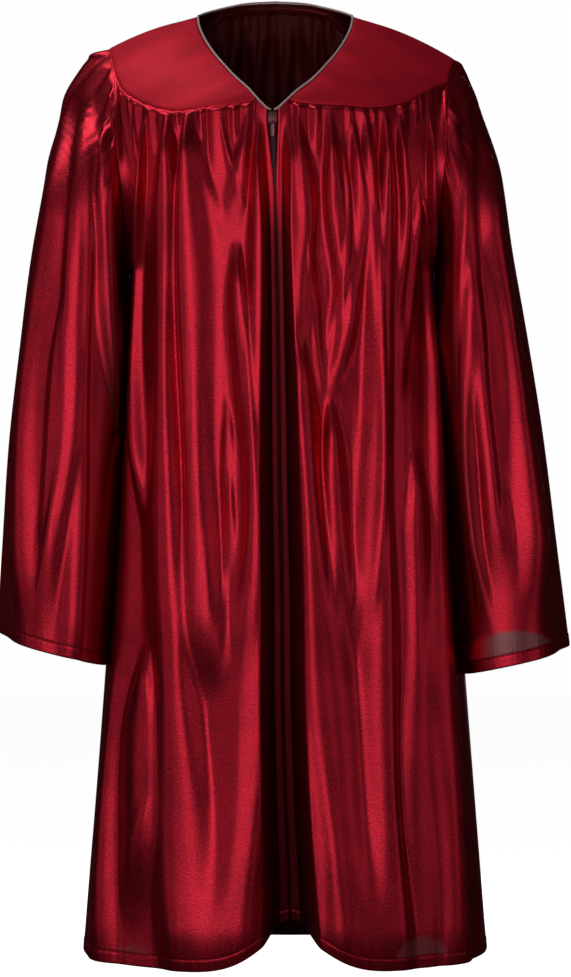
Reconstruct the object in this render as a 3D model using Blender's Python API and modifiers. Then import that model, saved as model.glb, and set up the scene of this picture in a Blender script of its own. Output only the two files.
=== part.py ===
"""A child's graduation gown as it hangs on a hidden figure.

+X is the viewer's right, -Y the front and +Z up. The origin lies between the shoulders, at the
height of the sides of the neck, where the wearer holds the gown up. Tables are in millimetres.
"""

from collections import namedtuple
from math import pi, radians

import bmesh
import bpy
import numpy as np
from mathutils import Matrix

MM = 0.001
LEFT, RIGHT = -1, 1
SIDE_NAME = {LEFT: "left", RIGHT: "right"}

# Cloth and seams, in metres
WALL = 0.0012
SEAM_GAP = 0.0004
YOKE_SEAM_GAP = 0.0009
BACK_SEAM_GAP = 0.0018
ARMHOLE_GAP = 0.0020
TAPE_WALL = 0.0010
EDGING_RADIUS = 0.0009
EDGING_POINTS = 27
EDGING_LEANS_UNTIL = 0.92
EDGING_RISE = 0.8
NECK_BAND_HEIGHT = 0.006
NECK_BAND_SLANT = 0.0012
NECK_BAND_COLUMNS = 14
NECK_BAND_LENGTH_SHARE = 0.993

# How the gown is divided for its meshes
CHANNEL_COLUMNS = 7
FRONT_COLUMNS = 36
BACK_COLUMNS = 60
SLEEVE_COLUMNS = 48
YOKE_COLUMNS = 40
YOKE_ROWS = 4
PANEL_ROWS = (0, .02, .045, .08, .115, .15, .18, .205, .2257, .27, .36, .495, .63, .76, .88, 1)
SLEEVE_ROWS = (0, .007, .024, .058, .11, .18, .27, .37, .48, .6, .73, .87, 1)
THINNEST_FOLD = 5.5 * MM

# The figure: half widths and depths of the body at each height
Section = namedtuple("Section", "z left right front back")
BODY = [
    Section(30, 108, 110, 60, 72),
    Section(-50, 116, 119, 80, 78),
    Section(-100, 119, 123, 87, 86),
    Section(-200, 119, 124, 91, 93),
    Section(-350, 127, 136, 96, 100),
    Section(-540, 140, 150, 101, 110),
    Section(-770, 158, 168, 106, 121),
]
BODY_SQUARENESS = 0.13

# The channel where the fronts turn in over the zip: its axis, floor and half width
Channel = namedtuple("Channel", "z axis floor mouth")
CHANNEL = [
    Channel(-60, -5, 84.5, 9),
    Channel(-82, -5, 84, 10),
    Channel(-155, -2.5, 81, 11),
    Channel(-232, -1, 73, 12),
    Channel(-309, 0, 64, 14),
    Channel(-386, 1, 56, 15),
    Channel(-463, 2.5, 48, 16),
    Channel(-540, 3, 41, 17),
    Channel(-617, 5, 33, 18),
    Channel(-690, 8, 25, 20),
    Channel(-770, 10, 16, 25),
]
CHANNEL_FLOOR_SHARE = 0.38
CHANNEL_SHARE = 0.15
ZIP_END = -0.486
EDGE_AT_NECK = 0.0042
EDGE_AT_ZIP = 0.0012
EDGE_CLOSES_OVER = 0.070

# Neckline and seams of one side: distance out from the neck's centre, then y and z
NECK_CENTRE = -3 * MM
V_POINT_LEAN = 2 * MM
LEAN_STARTS = -50 * MM
LEAN_GROWS_OVER = 32 * MM
LEAN_ENDS_OUT = 35 * MM
LEAN_FADES_OVER = 20 * MM
Point = namedtuple("Point", "out y z")
NECKLINE = [
    Point(4.5, -84, -82),
    Point(9, -82, -77.5),
    Point(19.5, -75, -66.5),
    Point(29.5, -67, -57.5),
    Point(40, -54, -45.5),
    Point(50.5, -38, -31.5),
    Point(57, -24, -20),
    Point(61, -12, -10),
    Point(62.5, 0, -1),
    Point(61, 18, 3),
    Point(54, 38, 8),
    Point(42, 54, 13),
    Point(24, 66, 18),
    Point(0, 70, 20),
]
NECKLINE_AT_YOKE_FRONT = 0.060
NECKLINE_AT_BACK_BAND = 0.80
SHORT_OF_YOKE = 0.97
YOKE_FRONT_SEAM = [
    Point(13, -80.2, -74.6),
    Point(26, -81, -77),
    Point(52, -79, -78.5),
    Point(80, -72, -79),
    Point(102, -60, -74),
    Point(119, -46, -64),
]
LEFT_SEAM_DIP = 3 * MM
LEFT_SEAM_DIP_AT = 80 * MM
LEFT_SEAM_DIP_HALF_WIDTH = 25 * MM

# Where along its outer edge the yoke's front seam, armhole and back seam end
YOKE_SHARES = (0.57, 0.75, 1.0)
# The yoke's cloth stands out between its edges, facing forwards at one end and back at the other
YOKE_BULGE = 0.055
YOKE_FACING = radians(66)
YOKE_TURNS_FROM = 0.30
BACK_BAND_SHARE = 0.30
YOKE_BACK_SEAM = [
    Point(116, 50, -54),
    Point(90, 65, -46),
    Point(68, 66, -22),
    Point(54, 57, -3),
]

# Armhole of one side: degrees round it, distance out from the body, then y and z
Armhole = namedtuple("Armhole", "around out y z")
ARMHOLE = [
    Armhole(0, 23, 0, -26),
    Armhole(30, 15, -28, -48),
    Armhole(60, 11, -50, -78),
    Armhole(90, 7, -60, -115),
    Armhole(120, 4, -52, -155),
    Armhole(150, 1.5, -30, -190),
    Armhole(180, 0, 0, -205),
    Armhole(210, 1.5, 33, -190),
    Armhole(240, 4.5, 55, -153),
    Armhole(270, 8, 62, -112),
    Armhole(300, 12, 50, -74),
    Armhole(330, 17, 28, -46),
    Armhole(360, 23, 0, -26),
]
YOKE_CORNER_FRONT = 30
YOKE_CORNER_BACK = 330
RIGHT_TIP_DROP = 8 * MM

# Sleeves: how far the outer side stands out at each height, and the depths to front and back
Reach = namedtuple("Reach", "z out")
SLEEVE_REACH = {
    LEFT: [
        Reach(-26, 139.5), Reach(-28, 148), Reach(-34.5, 154.5), Reach(-48, 163), Reach(-63, 169.5),
        Reach(-82, 172), Reach(-106, 177), Reach(-138, 182), Reach(-186, 190), Reach(-266, 199.5),
        Reach(-346, 208.5), Reach(-410, 213), Reach(-474, 216.5), Reach(-540, 218),
    ],
    RIGHT: [
        Reach(-34, 142), Reach(-36, 145), Reach(-42, 149), Reach(-53, 154), Reach(-66, 159.5),
        Reach(-82, 163), Reach(-106, 168), Reach(-138, 173), Reach(-186, 179), Reach(-266, 192),
        Reach(-346, 204.5), Reach(-410, 213), Reach(-474, 221), Reach(-540, 228),
    ],
}
Depth = namedtuple("Depth", "z front back")
SLEEVE_DEPTH = [
    Depth(-20, 34, 34),
    Depth(-80, 56, 56),
    Depth(-130, 65, 66),
    Depth(-205, 70, 72),
    Depth(-350, 77, 80),
    Depth(-540, 84, 88),
]
SLEEVE_SQUARENESS = 0.16
UNDERARM = -0.205
# How the inner side hangs: just clear of the body, with room for its folds away from the middle
SLEEVE_CLEARANCE = 0.0012
SLEEVE_WRAP = 0.008
SLEEVE_WRAPS_OVER = 0.060
FOLD_ROOM = 0.007
ROOM_STARTS = 0.015
ROOM_GROWS_OVER = 0.040
PRESS_SOFTNESS = 0.0015
PRESS_STARTS_OVER = 0.015
INNER_SIDE_COSINE = 0.35

# Ends: height at the middle, lift of the outer side and lift of the back
CuffEnd = namedtuple("CuffEnd", "height outer_lift back_lift")
CUFF = {LEFT: CuffEnd(-507, 12.5, 28), RIGHT: CuffEnd(-515, 10.5, 17)}
HEM_FRONT = -0.7505
HEM_SIDE = -0.7435
HEM_BACK = -0.750
HEM_ARCH = 0.030
HEM_ARCH_HALF_WIDTH = 0.034

# Folds of the fronts and back. Each runs down through four places, in millimetres across the
# gown, evenly spaced from its top to its foot, and stands out by its height.
Fold = namedtuple("Fold", "top foot x0 x1 x2 x3 half_width height")
TO_HEM = -800
FRONT_FOLDS = [
    Fold(-300, TO_HEM, -115, -122, -137, -142, 9, 6),
    Fold(-78, -425, -104, -109, -111, -101, 6, 8),
    Fold(-78, TO_HEM, -86, -86, -76, -66, 9, 10),
    Fold(-78, -556, -72, -69, -62, -50, 9, 9),
    Fold(-300, -548, -40, -37, -38, -44, 5, 4),
    Fold(-180, -545, -33, -24, -19, -34, 6, 7),
    Fold(-84, TO_HEM, -14, -14, -18, -42, 8, 9),
    Fold(-78, -190, -67, -64, -55, -39, 5.5, 5),
    Fold(-78, -190, -20, -27, -31, -39, 5.5, 5),
    Fold(-490, -730, -100, -102, -104, -117, 7, 6),
    Fold(-84, TO_HEM, 8, 11, 19, 40, 7.5, 8),
    Fold(-250, TO_HEM, 16, 26, 43, 63, 7.5, 10),
    Fold(-80, -320, 12, 22, 20, 37, 5.5, 6),
    Fold(-78, -320, 39, 43, 51, 38, 6, 6),
    Fold(-300, -530, 40, 41, 47, 57, 6.5, 8),
    Fold(-78, -530, 68, 74, 73, 59, 5.5, 7),
    Fold(-78, TO_HEM, 83, 79, 80, 89, 6.5, 9),
    Fold(-78, -320, 92, 98, 91, 93, 5.5, 6),
    Fold(-130, -320, 111, 104, 98, 93, 5.5, 5),
    Fold(-70, TO_HEM, 117, 121, 129, 139, 7, 8),
    Fold(-340, TO_HEM, 105, 110, 112, 110, 8, 4),
]
BACK_FOLDS = [
    Fold(5, TO_HEM, -6, -10, -4, -12, 9, 11),
    Fold(5, TO_HEM, 14, 22, 28, 33, 8, 9),
    Fold(5, -470, 34, 45, 50, 66, 7, 8),
    Fold(-10, TO_HEM, 54, 66, 73, 80, 9, 11),
    Fold(-40, -390, 78, 88, 92, 104, 7, 7),
    Fold(-50, TO_HEM, 100, 110, 118, 124, 8, 9),
    Fold(-330, TO_HEM, 46, 50, 54, 57, 8, 6),
    Fold(5, TO_HEM, -27, -40, -43, -52, 8, 10),
    Fold(0, -420, -47, -58, -62, -74, 7, 8),
    Fold(-20, TO_HEM, -68, -78, -86, -90, 9, 11),
    Fold(-50, -560, -92, -98, -104, -116, 7, 7),
    Fold(-60, TO_HEM, -110, -116, -124, -132, 8, 8),
    Fold(-400, TO_HEM, -28, -27, -30, -33, 7, 6),
]

# Folds of the sleeves, placed in degrees round the sleeve from its outer side to the front
SleeveFold = namedtuple("SleeveFold", "top foot a0 a1 a2 a3 half_width height")
SLEEVE_FOLDS = {
    LEFT: [
        SleeveFold(-20, TO_HEM, 48, 40, 46, 52, 12, 8),
        SleeveFold(-20, -505, 68, 84, 93, 76, 8, 6),
        SleeveFold(-40, TO_HEM, 86, 101, 114, 116, 7, 5),
        SleeveFold(-60, -330, 114, 121, 128, 140, 7, 5),
        SleeveFold(-20, TO_HEM, 8, 2, 8, 12, 11, 6),
        SleeveFold(-20, TO_HEM, -36, -30, -38, -34, 12, 8),
        SleeveFold(-30, -420, -66, -74, -70, -56, 8, 6),
        SleeveFold(-40, TO_HEM, -94, -104, -98, -108, 10, 7),
    ],
    RIGHT: [
        SleeveFold(-20, TO_HEM, 60, 58, 50, 58, 13, 8),
        SleeveFold(-40, TO_HEM, 104, 111, 128, 126, 7, 6),
        SleeveFold(-230, TO_HEM, 96, 101, 107, 108, 7, 5),
        SleeveFold(-60, -450, 112, 122, 138, 150, 7, 4),
        SleeveFold(-20, TO_HEM, 18, 10, 6, 12, 11, 6),
        SleeveFold(-20, TO_HEM, -26, -36, -32, -30, 12, 8),
        SleeveFold(-30, -440, -60, -64, -72, -52, 8, 6),
        SleeveFold(-40, TO_HEM, -92, -98, -106, -100, 10, 7),
    ],
}
FOLD_FLARE = 0.5
FLARE_STARTS = -0.25
FOLD_STARTS_OVER = 0.045
FOLD_ENDS_OVER = 0.050
FOLD_RISES_FROM_SEAM = 0.020

# Gathers where a piece is drawn up into a seam, and how far they drift from even spacing
GATHER_HEIGHT = 0.0032
GATHER_DEPTH = 0.060
GATHER_STARTS_OVER = 0.010
Drift = namedtuple("Drift", "size turns phase")
GATHER_DRIFTS = [Drift(0.018, 5.1, 0.0), Drift(0.010, 12.7, 1.0)]
FRONT_GATHERS_FROM = 0.17
FRONT_GATHERS_TO = 0.97
BACK_GATHERS_TO = 0.97
FRONT_GATHERS = 10
BACK_GATHERS = 20
SLEEVE_GATHERS = 10
SLEEVE_GATHERS_REACH = 105

# Folds die away beside the armhole's seam, and lie flat where the sleeve hangs against the body
SEWN_FADES_OVER = 0.030
SEWN_EDGE_SHARE = 0.14
FLAT_FROM_SINE = 0.80
FLAT_OVER_SINE = 0.13
FLAT_BY = 0.92

# Distance down over which a piece leaves its seam for the figure below
FRONT_FADE = 0.110
BACK_FADE = 0.120
SLEEVE_FADE = 0.090

# Zip. The tape starts beside the chain and then follows some columns of the front.
CHAIN_WIDTH = 0.0032
CHAIN_THICKNESS = 0.0016
CHAIN_BELOW_SLIDER_TOP = 0.0028
CHAIN_ABOVE_END = 0.004
STOP_ABOVE_END = 0.001
STOP_LENGTH = 0.0025
TAPE_FROM_MIDDLE = 0.0021
TAPE_FIRST_COLUMN = 2
TAPE_LAST_COLUMN = 4
TAPE_GAP = 0.0007
TAPE_PAST_END = 0.004
ROW_MARGIN = 0.003
SLIDER_WIDTH = 0.0064
SLIDER_HEIGHT = 0.0092
SLIDER_TOP = -0.0838
PLATE = 0.0010
SLIDER_NECK = 0.0020
SLIDER_NECK_SHARE = 0.5
EAR = 0.0008
EAR_ROOT = 0.0004
PIN_RADIUS = 0.00045
TAB_WIDTH = 0.0032
TAB_LENGTH = 0.0100
TAB_THICKNESS = 0.0010
TAB_EYE_RADIUS = 0.0009
TAB_EYE_WALL = 0.0006
TAB_CLEARANCE = 0.0004

MAROON = (0.225, 0.006, 0.020)
EDGE_PINK = (0.36, 0.20, 0.20)
ZIP_RED = (0.105, 0.006, 0.014)


def clear_scene():
    for item in list(bpy.data.objects):
        bpy.data.objects.remove(item, do_unlink=True)


def ease(value):
    """Rises smoothly from 0 to 1 as the value does."""
    value = np.clip(value, 0.0, 1.0)
    return value * value * (3 - 2 * value)


def smooth_curve(at, knots, values):
    """A curve through the values at rising knots, each knot's slope set by its neighbours."""
    knots = np.asarray(knots, float)
    values = np.asarray(values, float)
    slopes = np.gradient(values, knots)
    at = np.clip(at, knots[0], knots[-1])
    cell = np.clip(np.searchsorted(knots, at) - 1, 0, len(knots) - 2)
    width = knots[cell + 1] - knots[cell]
    t = (at - knots[cell]) / width
    start = (1 + 2 * t) * (1 - t) ** 2 * values[cell] + t * (1 - t) ** 2 * width * slopes[cell]
    end = t * t * (3 - 2 * t) * values[cell + 1] + t * t * (t - 1) * width * slopes[cell + 1]
    return start + end


def by_height(rows, column, z):
    """A table's column at the heights z, both in metres."""
    knots = [-row.z * MM for row in rows]
    return smooth_curve(-np.asarray(z, float), knots, [getattr(row, column) * MM for row in rows])


def along(rows, share):
    """Points at shares 0 to 1 of the way along a table's points, by the distance between them."""
    points = np.array([row[-3:] for row in rows], float) * MM
    steps = np.linalg.norm(np.diff(points, axis=0), axis=1)
    knots = np.concatenate(([0.0], np.cumsum(steps))) / steps.sum()
    return np.stack([smooth_curve(share, knots, points[:, axis]) for axis in range(3)], axis=-1)


def to_side(points, side):
    """Turns distances out from the neck's centre into x on one side."""
    placed = np.array(points, float)
    lean = V_POINT_LEAN * ease((LEAN_STARTS - placed[..., 2]) / LEAN_GROWS_OVER)
    lean *= ease((LEAN_ENDS_OUT - placed[..., 0]) / LEAN_FADES_OVER)
    placed[..., 0] = NECK_CENTRE - lean + side * placed[..., 0]
    return placed


def squared_round(angle, squareness):
    """The sine and cosine of a ring that is a little squarer than an ellipse."""
    across = np.sin(angle) * (1 + squareness * np.cos(angle) ** 2)
    ahead = np.cos(angle) * (1 + squareness * np.sin(angle) ** 2)
    return across, ahead


EDGE_RUN = np.linspace(0, 1, 161)
QUARTER = np.linspace(0, pi / 2, 361)
QUARTER_ACROSS, QUARTER_AHEAD = squared_round(QUARTER, BODY_SQUARENESS)


def body_half_width(z, side):
    return by_height(BODY, SIDE_NAME[side], z)


def angle_at(x, z):
    """The angle round the body, from the front, of the ring's point at x."""
    half = np.where(np.asarray(x) < 0, body_half_width(z, LEFT), body_half_width(z, RIGHT))
    return np.sign(x) * np.interp(np.abs(x) / half, QUARTER_ACROSS, QUARTER)


def angle_for_depth(y, z):
    """The angle from the front, or from the back, of the ring's point at y."""
    depth = np.where(np.asarray(y) < 0, by_height(BODY, "front", z), by_height(BODY, "back", z))
    return np.interp(np.abs(y) / depth, QUARTER_AHEAD[::-1], QUARTER[::-1])


def body_ring(angle, z):
    """Points of the figure round the body, its outward directions, and metres for each radian."""
    across, ahead = squared_round(angle, BODY_SQUARENESS)
    half = np.where(np.sin(angle) < 0, body_half_width(z, LEFT), body_half_width(z, RIGHT))
    depth = np.where(np.cos(angle) > 0, by_height(BODY, "front", z), by_height(BODY, "back", z))
    points = np.stack([half * across, -depth * ahead, z + 0 * angle], axis=-1)
    out = np.stack([np.sin(angle) / half, -np.cos(angle) / depth, 0 * angle], axis=-1)
    out /= np.linalg.norm(out, axis=-1, keepdims=True)
    speed = np.hypot(half * np.cos(angle), depth * np.sin(angle))
    return points, out, speed


def front_angle(x, z):
    return angle_at(x * MM, z)


def back_angle(x, z):
    return pi - angle_at(x * MM, z)


def sleeve_angle(degrees, z):
    return np.radians(degrees)


def fold_heights(folds, z, angle, speed, centre_angle):
    """How far the folds stand out at each point; where two meet they merge."""
    total = np.zeros(np.broadcast(z, angle).shape)
    for fold in folds:
        top, foot = fold.top * MM, fold.foot * MM
        share = (top - z) / (top - foot)
        centre = centre_angle(smooth_curve(share, np.linspace(0, 1, 4), fold[2:6]), z)
        flare = 1 + FOLD_FLARE * ease((FLARE_STARTS - z) / 0.5)
        half_width = max(fold.half_width * MM, THINNEST_FOLD) * flare
        across = (angle - centre) * speed / half_width
        present = ease((top - z) / FOLD_STARTS_OVER) * ease((z - foot) / FOLD_ENDS_OVER)
        total += (fold.height * MM * flare * present * np.exp(-across ** 2)) ** 2
    return np.sqrt(total)


def gathers(share, count, depth_below):
    """Small uneven pleats below a seam, over shares 0 to 1 along it."""
    uneven = share + sum(row.size * np.sin(row.turns * pi * share + row.phase) for row in GATHER_DRIFTS)
    wave = 0.5 - 0.5 * np.cos(2 * pi * count * uneven)
    inside = (share > 0) & (share < 1)
    present = ease(depth_below / GATHER_STARTS_OVER) * (1 - ease(depth_below / GATHER_DEPTH))
    return GATHER_HEIGHT * wave * inside * present


def armhole_point(degrees, side):
    """A point of the armhole, measured round from the shoulder tip to the front."""
    knots = [row.around for row in ARMHOLE]
    out, y, z = (smooth_curve(degrees, knots, [row[i] * MM for row in ARMHOLE]) for i in (1, 2, 3))
    if side == RIGHT:
        z = z - RIGHT_TIP_DROP * (0.5 + 0.5 * np.cos(np.radians(degrees))) ** 3
    return np.stack([side * (body_half_width(z, side) + out), y, z], axis=-1)


def panel_side(z, side, behind):
    """The side edge of a front or back at each height: the armhole, then the side seam."""
    around = np.linspace(360, 180, 121) if behind else np.linspace(0, 180, 121)
    edge = armhole_point(around, side)
    found = np.interp(-z, -edge[:, 2], around)
    point = armhole_point(found, side)
    low = z < UNDERARM
    point[..., 0] = np.where(low, side * body_half_width(z, side), point[..., 0])
    point[..., 1] = np.where(low, SEAM_GAP / 2 * (1 if behind else -1), point[..., 1])
    point[..., 2] = z
    return point


def panel_figure(side, start, share, z, behind):
    """Points of the figure between an angle and a panel's side edge, before its folds."""
    edge = panel_side(z, side, behind)
    from_middle = angle_for_depth(edge[..., 1], z)
    last = side * ((pi - from_middle) if behind else from_middle)
    angle = start + (last - start) * share
    points, out, speed = body_ring(angle, z)
    reach = edge - body_ring(last, z)[0]
    points += reach * (share ** 2)[..., None]
    return points, out, speed, angle


def free_of_edge(share, z):
    """Folds die away where a panel is sewn into its armhole, and lie flat beside the sleeve."""
    sewn = ease((z - UNDERARM + SEWN_FADES_OVER) / SEWN_FADES_OVER)
    return 1 - sewn * (1 - ease((1 - share) / SEWN_EDGE_SHARE))


def flat_beside_sleeve(angle):
    return 1 - FLAT_BY * ease((np.abs(np.sin(angle)) - FLAT_FROM_SINE) / FLAT_OVER_SINE)


def below_seam(curve, gap):
    """Moves a seam's points square to it, downwards, in the plane that faces the viewer."""
    run = np.gradient(curve, axis=-2)
    flat = np.hypot(run[..., 0], run[..., 2])
    square = np.stack([run[..., 2] / flat, 0 * flat, -run[..., 0] / flat], axis=-1)
    square *= np.where(square[..., 2] > 0, -1, 1)[..., None]
    return curve + square * gap


def joined(parts, shares, share, side):
    """Follows several curves one after another; the shares say where each one ends."""
    starts = [0.0, *shares[:-1]]
    result = np.zeros((*np.shape(share), 3))
    for part, start, end in zip(parts, starts, shares):
        here = share >= start
        result[here] = part(np.clip((share - start) / (end - start), 0, 1), side)[here]
    return result


def neckline(share, side):
    return to_side(along(NECKLINE, share), side)


def front_seam(share, side):
    """The yoke's front seam, from beside the zip to the armhole."""
    corner = armhole_point(YOKE_CORNER_FRONT, side) / MM
    rows = [*YOKE_FRONT_SEAM, Point((corner[0] - NECK_CENTRE / MM) * side, corner[1], corner[2])]
    points = along(rows, share)
    if side == LEFT:
        from_dip = (points[..., 0] - LEFT_SEAM_DIP_AT) / LEFT_SEAM_DIP_HALF_WIDTH
        points[..., 2] -= LEFT_SEAM_DIP * np.exp(-from_dip ** 2)
    return to_side(points, side)


def band_top(share, side):
    """The neckline from the nape to where the yoke begins."""
    return neckline(1 + (NECKLINE_AT_BACK_BAND - 1) * share, side)


def band_foot(share, side):
    return band_top(share, side) + np.array([0, NECK_BAND_SLANT, -NECK_BAND_HEIGHT])


def back_seam(share, side):
    """The yoke's back seam, from the armhole up to the back neck band."""
    corner = armhole_point(YOKE_CORNER_BACK, side) / MM
    end = band_foot(np.array(1.0), side) / MM
    first = Point((corner[0] - NECK_CENTRE / MM) * side, corner[1], corner[2])
    last = Point((end[0] - NECK_CENTRE / MM) * side, end[1], end[2])
    return to_side(along([first, *YOKE_BACK_SEAM, last], share), side)


def seam_from_band(share, side):
    return back_seam(1 - share, side)


def arm_edge(share, side):
    """The yoke's edge in the armhole, from its front corner over the shoulder to its back one."""
    return armhole_point(YOKE_CORNER_FRONT * (1 - 2 * share) % 360, side)


def yoke_outer_edge(share, side):
    return joined((front_seam, arm_edge, back_seam), YOKE_SHARES, share, side)


def yoke_surface(side, across, run):
    """The yoke, across from the neckline and along from the front end to the back end."""
    neck_run = NECKLINE_AT_YOKE_FRONT + (NECKLINE_AT_BACK_BAND - NECKLINE_AT_YOKE_FRONT) * run
    neck = neckline(neck_run, side)
    edge = yoke_outer_edge(run, side)
    turn = YOKE_FACING * (1 - 2 * ease((run - YOKE_TURNS_FROM) / (1 - YOKE_TURNS_FROM)))
    up = np.stack([0 * turn, -np.sin(turn), np.cos(turn)], axis=-1)
    width = np.linalg.norm(edge - neck, axis=-1)
    bulge = YOKE_BULGE * width * 4 * across * (1 - across)
    return neck * (1 - across[..., None]) + edge * across[..., None] + up * bulge[..., None]


def zip_edge(z):
    """Distance from the zip's middle line to the edge of each front."""
    closed = ease((NECKLINE[0].z * MM - z) / EDGE_CLOSES_OVER)
    return np.where(z > ZIP_END, EDGE_AT_NECK + (EDGE_AT_ZIP - EDGE_AT_NECK) * closed, SEAM_GAP / 2)


def front_figure(side, share, z):
    """Front points before folds, from the channel floor to the side edge."""
    axis = by_height(CHANNEL, "axis", z)
    mouth = by_height(CHANNEL, "mouth", z)
    edge = zip_edge(z)
    in_channel = np.clip(share / CHANNEL_SHARE, 0, 1)
    start = angle_at(axis + side * (edge + (mouth - edge) * in_channel), z)
    beyond = np.clip((share - CHANNEL_SHARE) / (1 - CHANNEL_SHARE), 0, 1)
    points, out, speed, angle = panel_figure(side, start, beyond, z, False)
    rise = channel_rise(np.abs(points[..., 0] - axis), mouth)
    points[..., 1] += (by_height(BODY, "front", z) - by_height(CHANNEL, "floor", z)) * (1 - rise)
    return points, out, speed, angle, rise


def channel_rise(from_axis, mouth):
    """0 on the channel's floor, rising to 1 at its mouth."""
    return ease((from_axis / mouth - CHANNEL_FLOOR_SHARE) / (1 - CHANNEL_FLOOR_SHARE))


def neck_above_zip(share, side):
    return neckline(NECKLINE_AT_YOKE_FRONT * SHORT_OF_YOKE * share, side)


def front_top(share, side):
    """The top edge of a front: along the neck, then along the yoke's seam to the armhole."""
    edge = joined((neck_above_zip, front_seam), (CHANNEL_SHARE, 1.0), EDGE_RUN, side)
    lowered = below_seam(edge, YOKE_SEAM_GAP)
    lowered = np.where((EDGE_RUN < CHANNEL_SHARE * SHORT_OF_YOKE)[:, None], edge, lowered)
    return np.stack([np.interp(share, EDGE_RUN, lowered[:, axis]) for axis in range(3)], axis=-1)


def hem_height(angle, x, middle):
    front = np.clip(np.cos(angle), 0, 1)
    back = np.clip(-np.cos(angle), 0, 1)
    height = HEM_SIDE + (HEM_FRONT - HEM_SIDE) * front + (HEM_BACK - HEM_SIDE) * back
    arch = HEM_ARCH * np.exp(-((x - middle) / HEM_ARCH_HALF_WIDTH) ** 2)
    return height + arch * (np.cos(angle) > 0)


def front_surface(side, share, down):
    """A front, by shares from the zip to the side edge and from the top edge to the hem."""
    share, down = np.meshgrid(share, down)
    top = front_top(share, side)
    middle = by_height(CHANNEL, "axis", HEM_FRONT)
    foot_points, _, _, foot_angle, _ = front_figure(side, share, np.full(share.shape, HEM_FRONT))
    hem = hem_height(foot_angle, foot_points[..., 0], middle)
    z = top[..., 2] + (hem - top[..., 2]) * down
    points, out, speed, angle, rise = front_figure(side, share, z)
    anchor = front_figure(side, share, top[..., 2])[0]
    below = top[..., 2] - z
    points += (top - anchor) * (1 - ease(below / FRONT_FADE))[..., None]
    folds = fold_heights(FRONT_FOLDS, z, angle, speed, front_angle)
    height = folds * ease(below / FOLD_RISES_FROM_SEAM)
    gathered = (share - FRONT_GATHERS_FROM) / (FRONT_GATHERS_TO - FRONT_GATHERS_FROM)
    height += gathers(gathered, FRONT_GATHERS, below)
    height *= rise * free_of_edge(share, z) * flat_beside_sleeve(angle)
    return points + out * height[..., None]


def back_top(share, side):
    """The top edge of the back: the neck band, then the yoke's seam to the armhole."""
    edge = joined((band_foot, seam_from_band), (BACK_BAND_SHARE, 1.0), EDGE_RUN, side)
    lowered = below_seam(edge, BACK_SEAM_GAP)
    return np.stack([np.interp(share, EDGE_RUN, lowered[:, axis]) for axis in range(3)], axis=-1)


def back_surface(across, down):
    """The back, across from the left side edge at -1 to the right one at 1."""
    across, down = np.meshgrid(across, down)
    sides = []
    for side in (LEFT, RIGHT):
        share = np.clip(side * across, 0, 1)
        top = back_top(share, side)
        last = panel_figure(side, side * pi, share, np.full(share.shape, HEM_BACK), True)[3]
        hem = hem_height(last, np.full(share.shape, 1.0), 0.0)
        z = top[..., 2] + (hem - top[..., 2]) * down
        points, out, speed, angle = panel_figure(side, side * pi, share, z, True)
        anchor = panel_figure(side, side * pi, share, top[..., 2], True)[0]
        below = top[..., 2] - z
        points += (top - anchor) * (1 - ease(below / BACK_FADE))[..., None]
        folds = fold_heights(BACK_FOLDS, z, angle % (2 * pi), speed, back_angle)
        height = folds * ease(below / FOLD_RISES_FROM_SEAM)
        gathered = 0.5 + across / (2 * BACK_GATHERS_TO)
        height += gathers(gathered, BACK_GATHERS, below)
        height *= free_of_edge(share, z) * flat_beside_sleeve(angle)
        sides.append(points + out * height[..., None])
    return np.where(across[..., None] < 0, *sides)


def sleeve_ring(side, angle, z):
    """Points of a sleeve's figure, from its outer side round by the front."""
    outer = by_height(SLEEVE_REACH[side], "out", z)
    inner = body_half_width(z, side) - SLEEVE_WRAP * ease((UNDERARM - z) / SLEEVE_WRAPS_OVER)
    middle, half = (outer + inner) / 2, (outer - inner) / 2
    depth = np.where(
        np.sin(angle) > 0, by_height(SLEEVE_DEPTH, "front", z), by_height(SLEEVE_DEPTH, "back", z)
    )
    ahead, across = squared_round(angle, SLEEVE_SQUARENESS)
    points = np.stack([side * (middle + half * across), -depth * ahead, z + 0 * angle], axis=-1)
    out = np.stack([side * np.cos(angle) / half, -np.sin(angle) / depth, 0 * angle], axis=-1)
    out /= np.linalg.norm(out, axis=-1, keepdims=True)
    speed = np.hypot(half * np.sin(angle), depth * np.cos(angle))
    return points, out, speed


def cuff_height(side, angle):
    end = CUFF[side]
    behind = (0.5 - 0.5 * np.sin(angle)) ** 2
    return (end.height + end.outer_lift * np.cos(angle) + end.back_lift * behind) * MM


def sleeve_surface(side, around, down):
    """A sleeve, by degrees round from its outer side to the front and shares down to its end."""
    around, down = np.meshgrid(around, down)
    angle = np.radians(around)
    top = armhole_point(around % 360, side) + np.array([side * ARMHOLE_GAP, 0, 0])
    z = top[..., 2] + (cuff_height(side, angle) - top[..., 2]) * down
    points, out, speed = sleeve_ring(side, angle, z)
    anchor = sleeve_ring(side, angle, top[..., 2])[0]
    below = top[..., 2] - z
    points += (top - anchor) * (1 - ease(below / SLEEVE_FADE))[..., None]
    signed = (angle + pi) % (2 * pi) - pi
    folds = fold_heights(SLEEVE_FOLDS[side], z, signed, speed, sleeve_angle)
    beside_body = ease((np.cos(signed) + 1) / INNER_SIDE_COSINE)
    height = folds * ease(below / FOLD_RISES_FROM_SEAM) * beside_body
    reach = radians(SLEEVE_GATHERS_REACH)
    height += gathers((signed + reach) / (2 * reach), SLEEVE_GATHERS, below)
    return clear_of_body(points + out * height[..., None], side)


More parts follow.
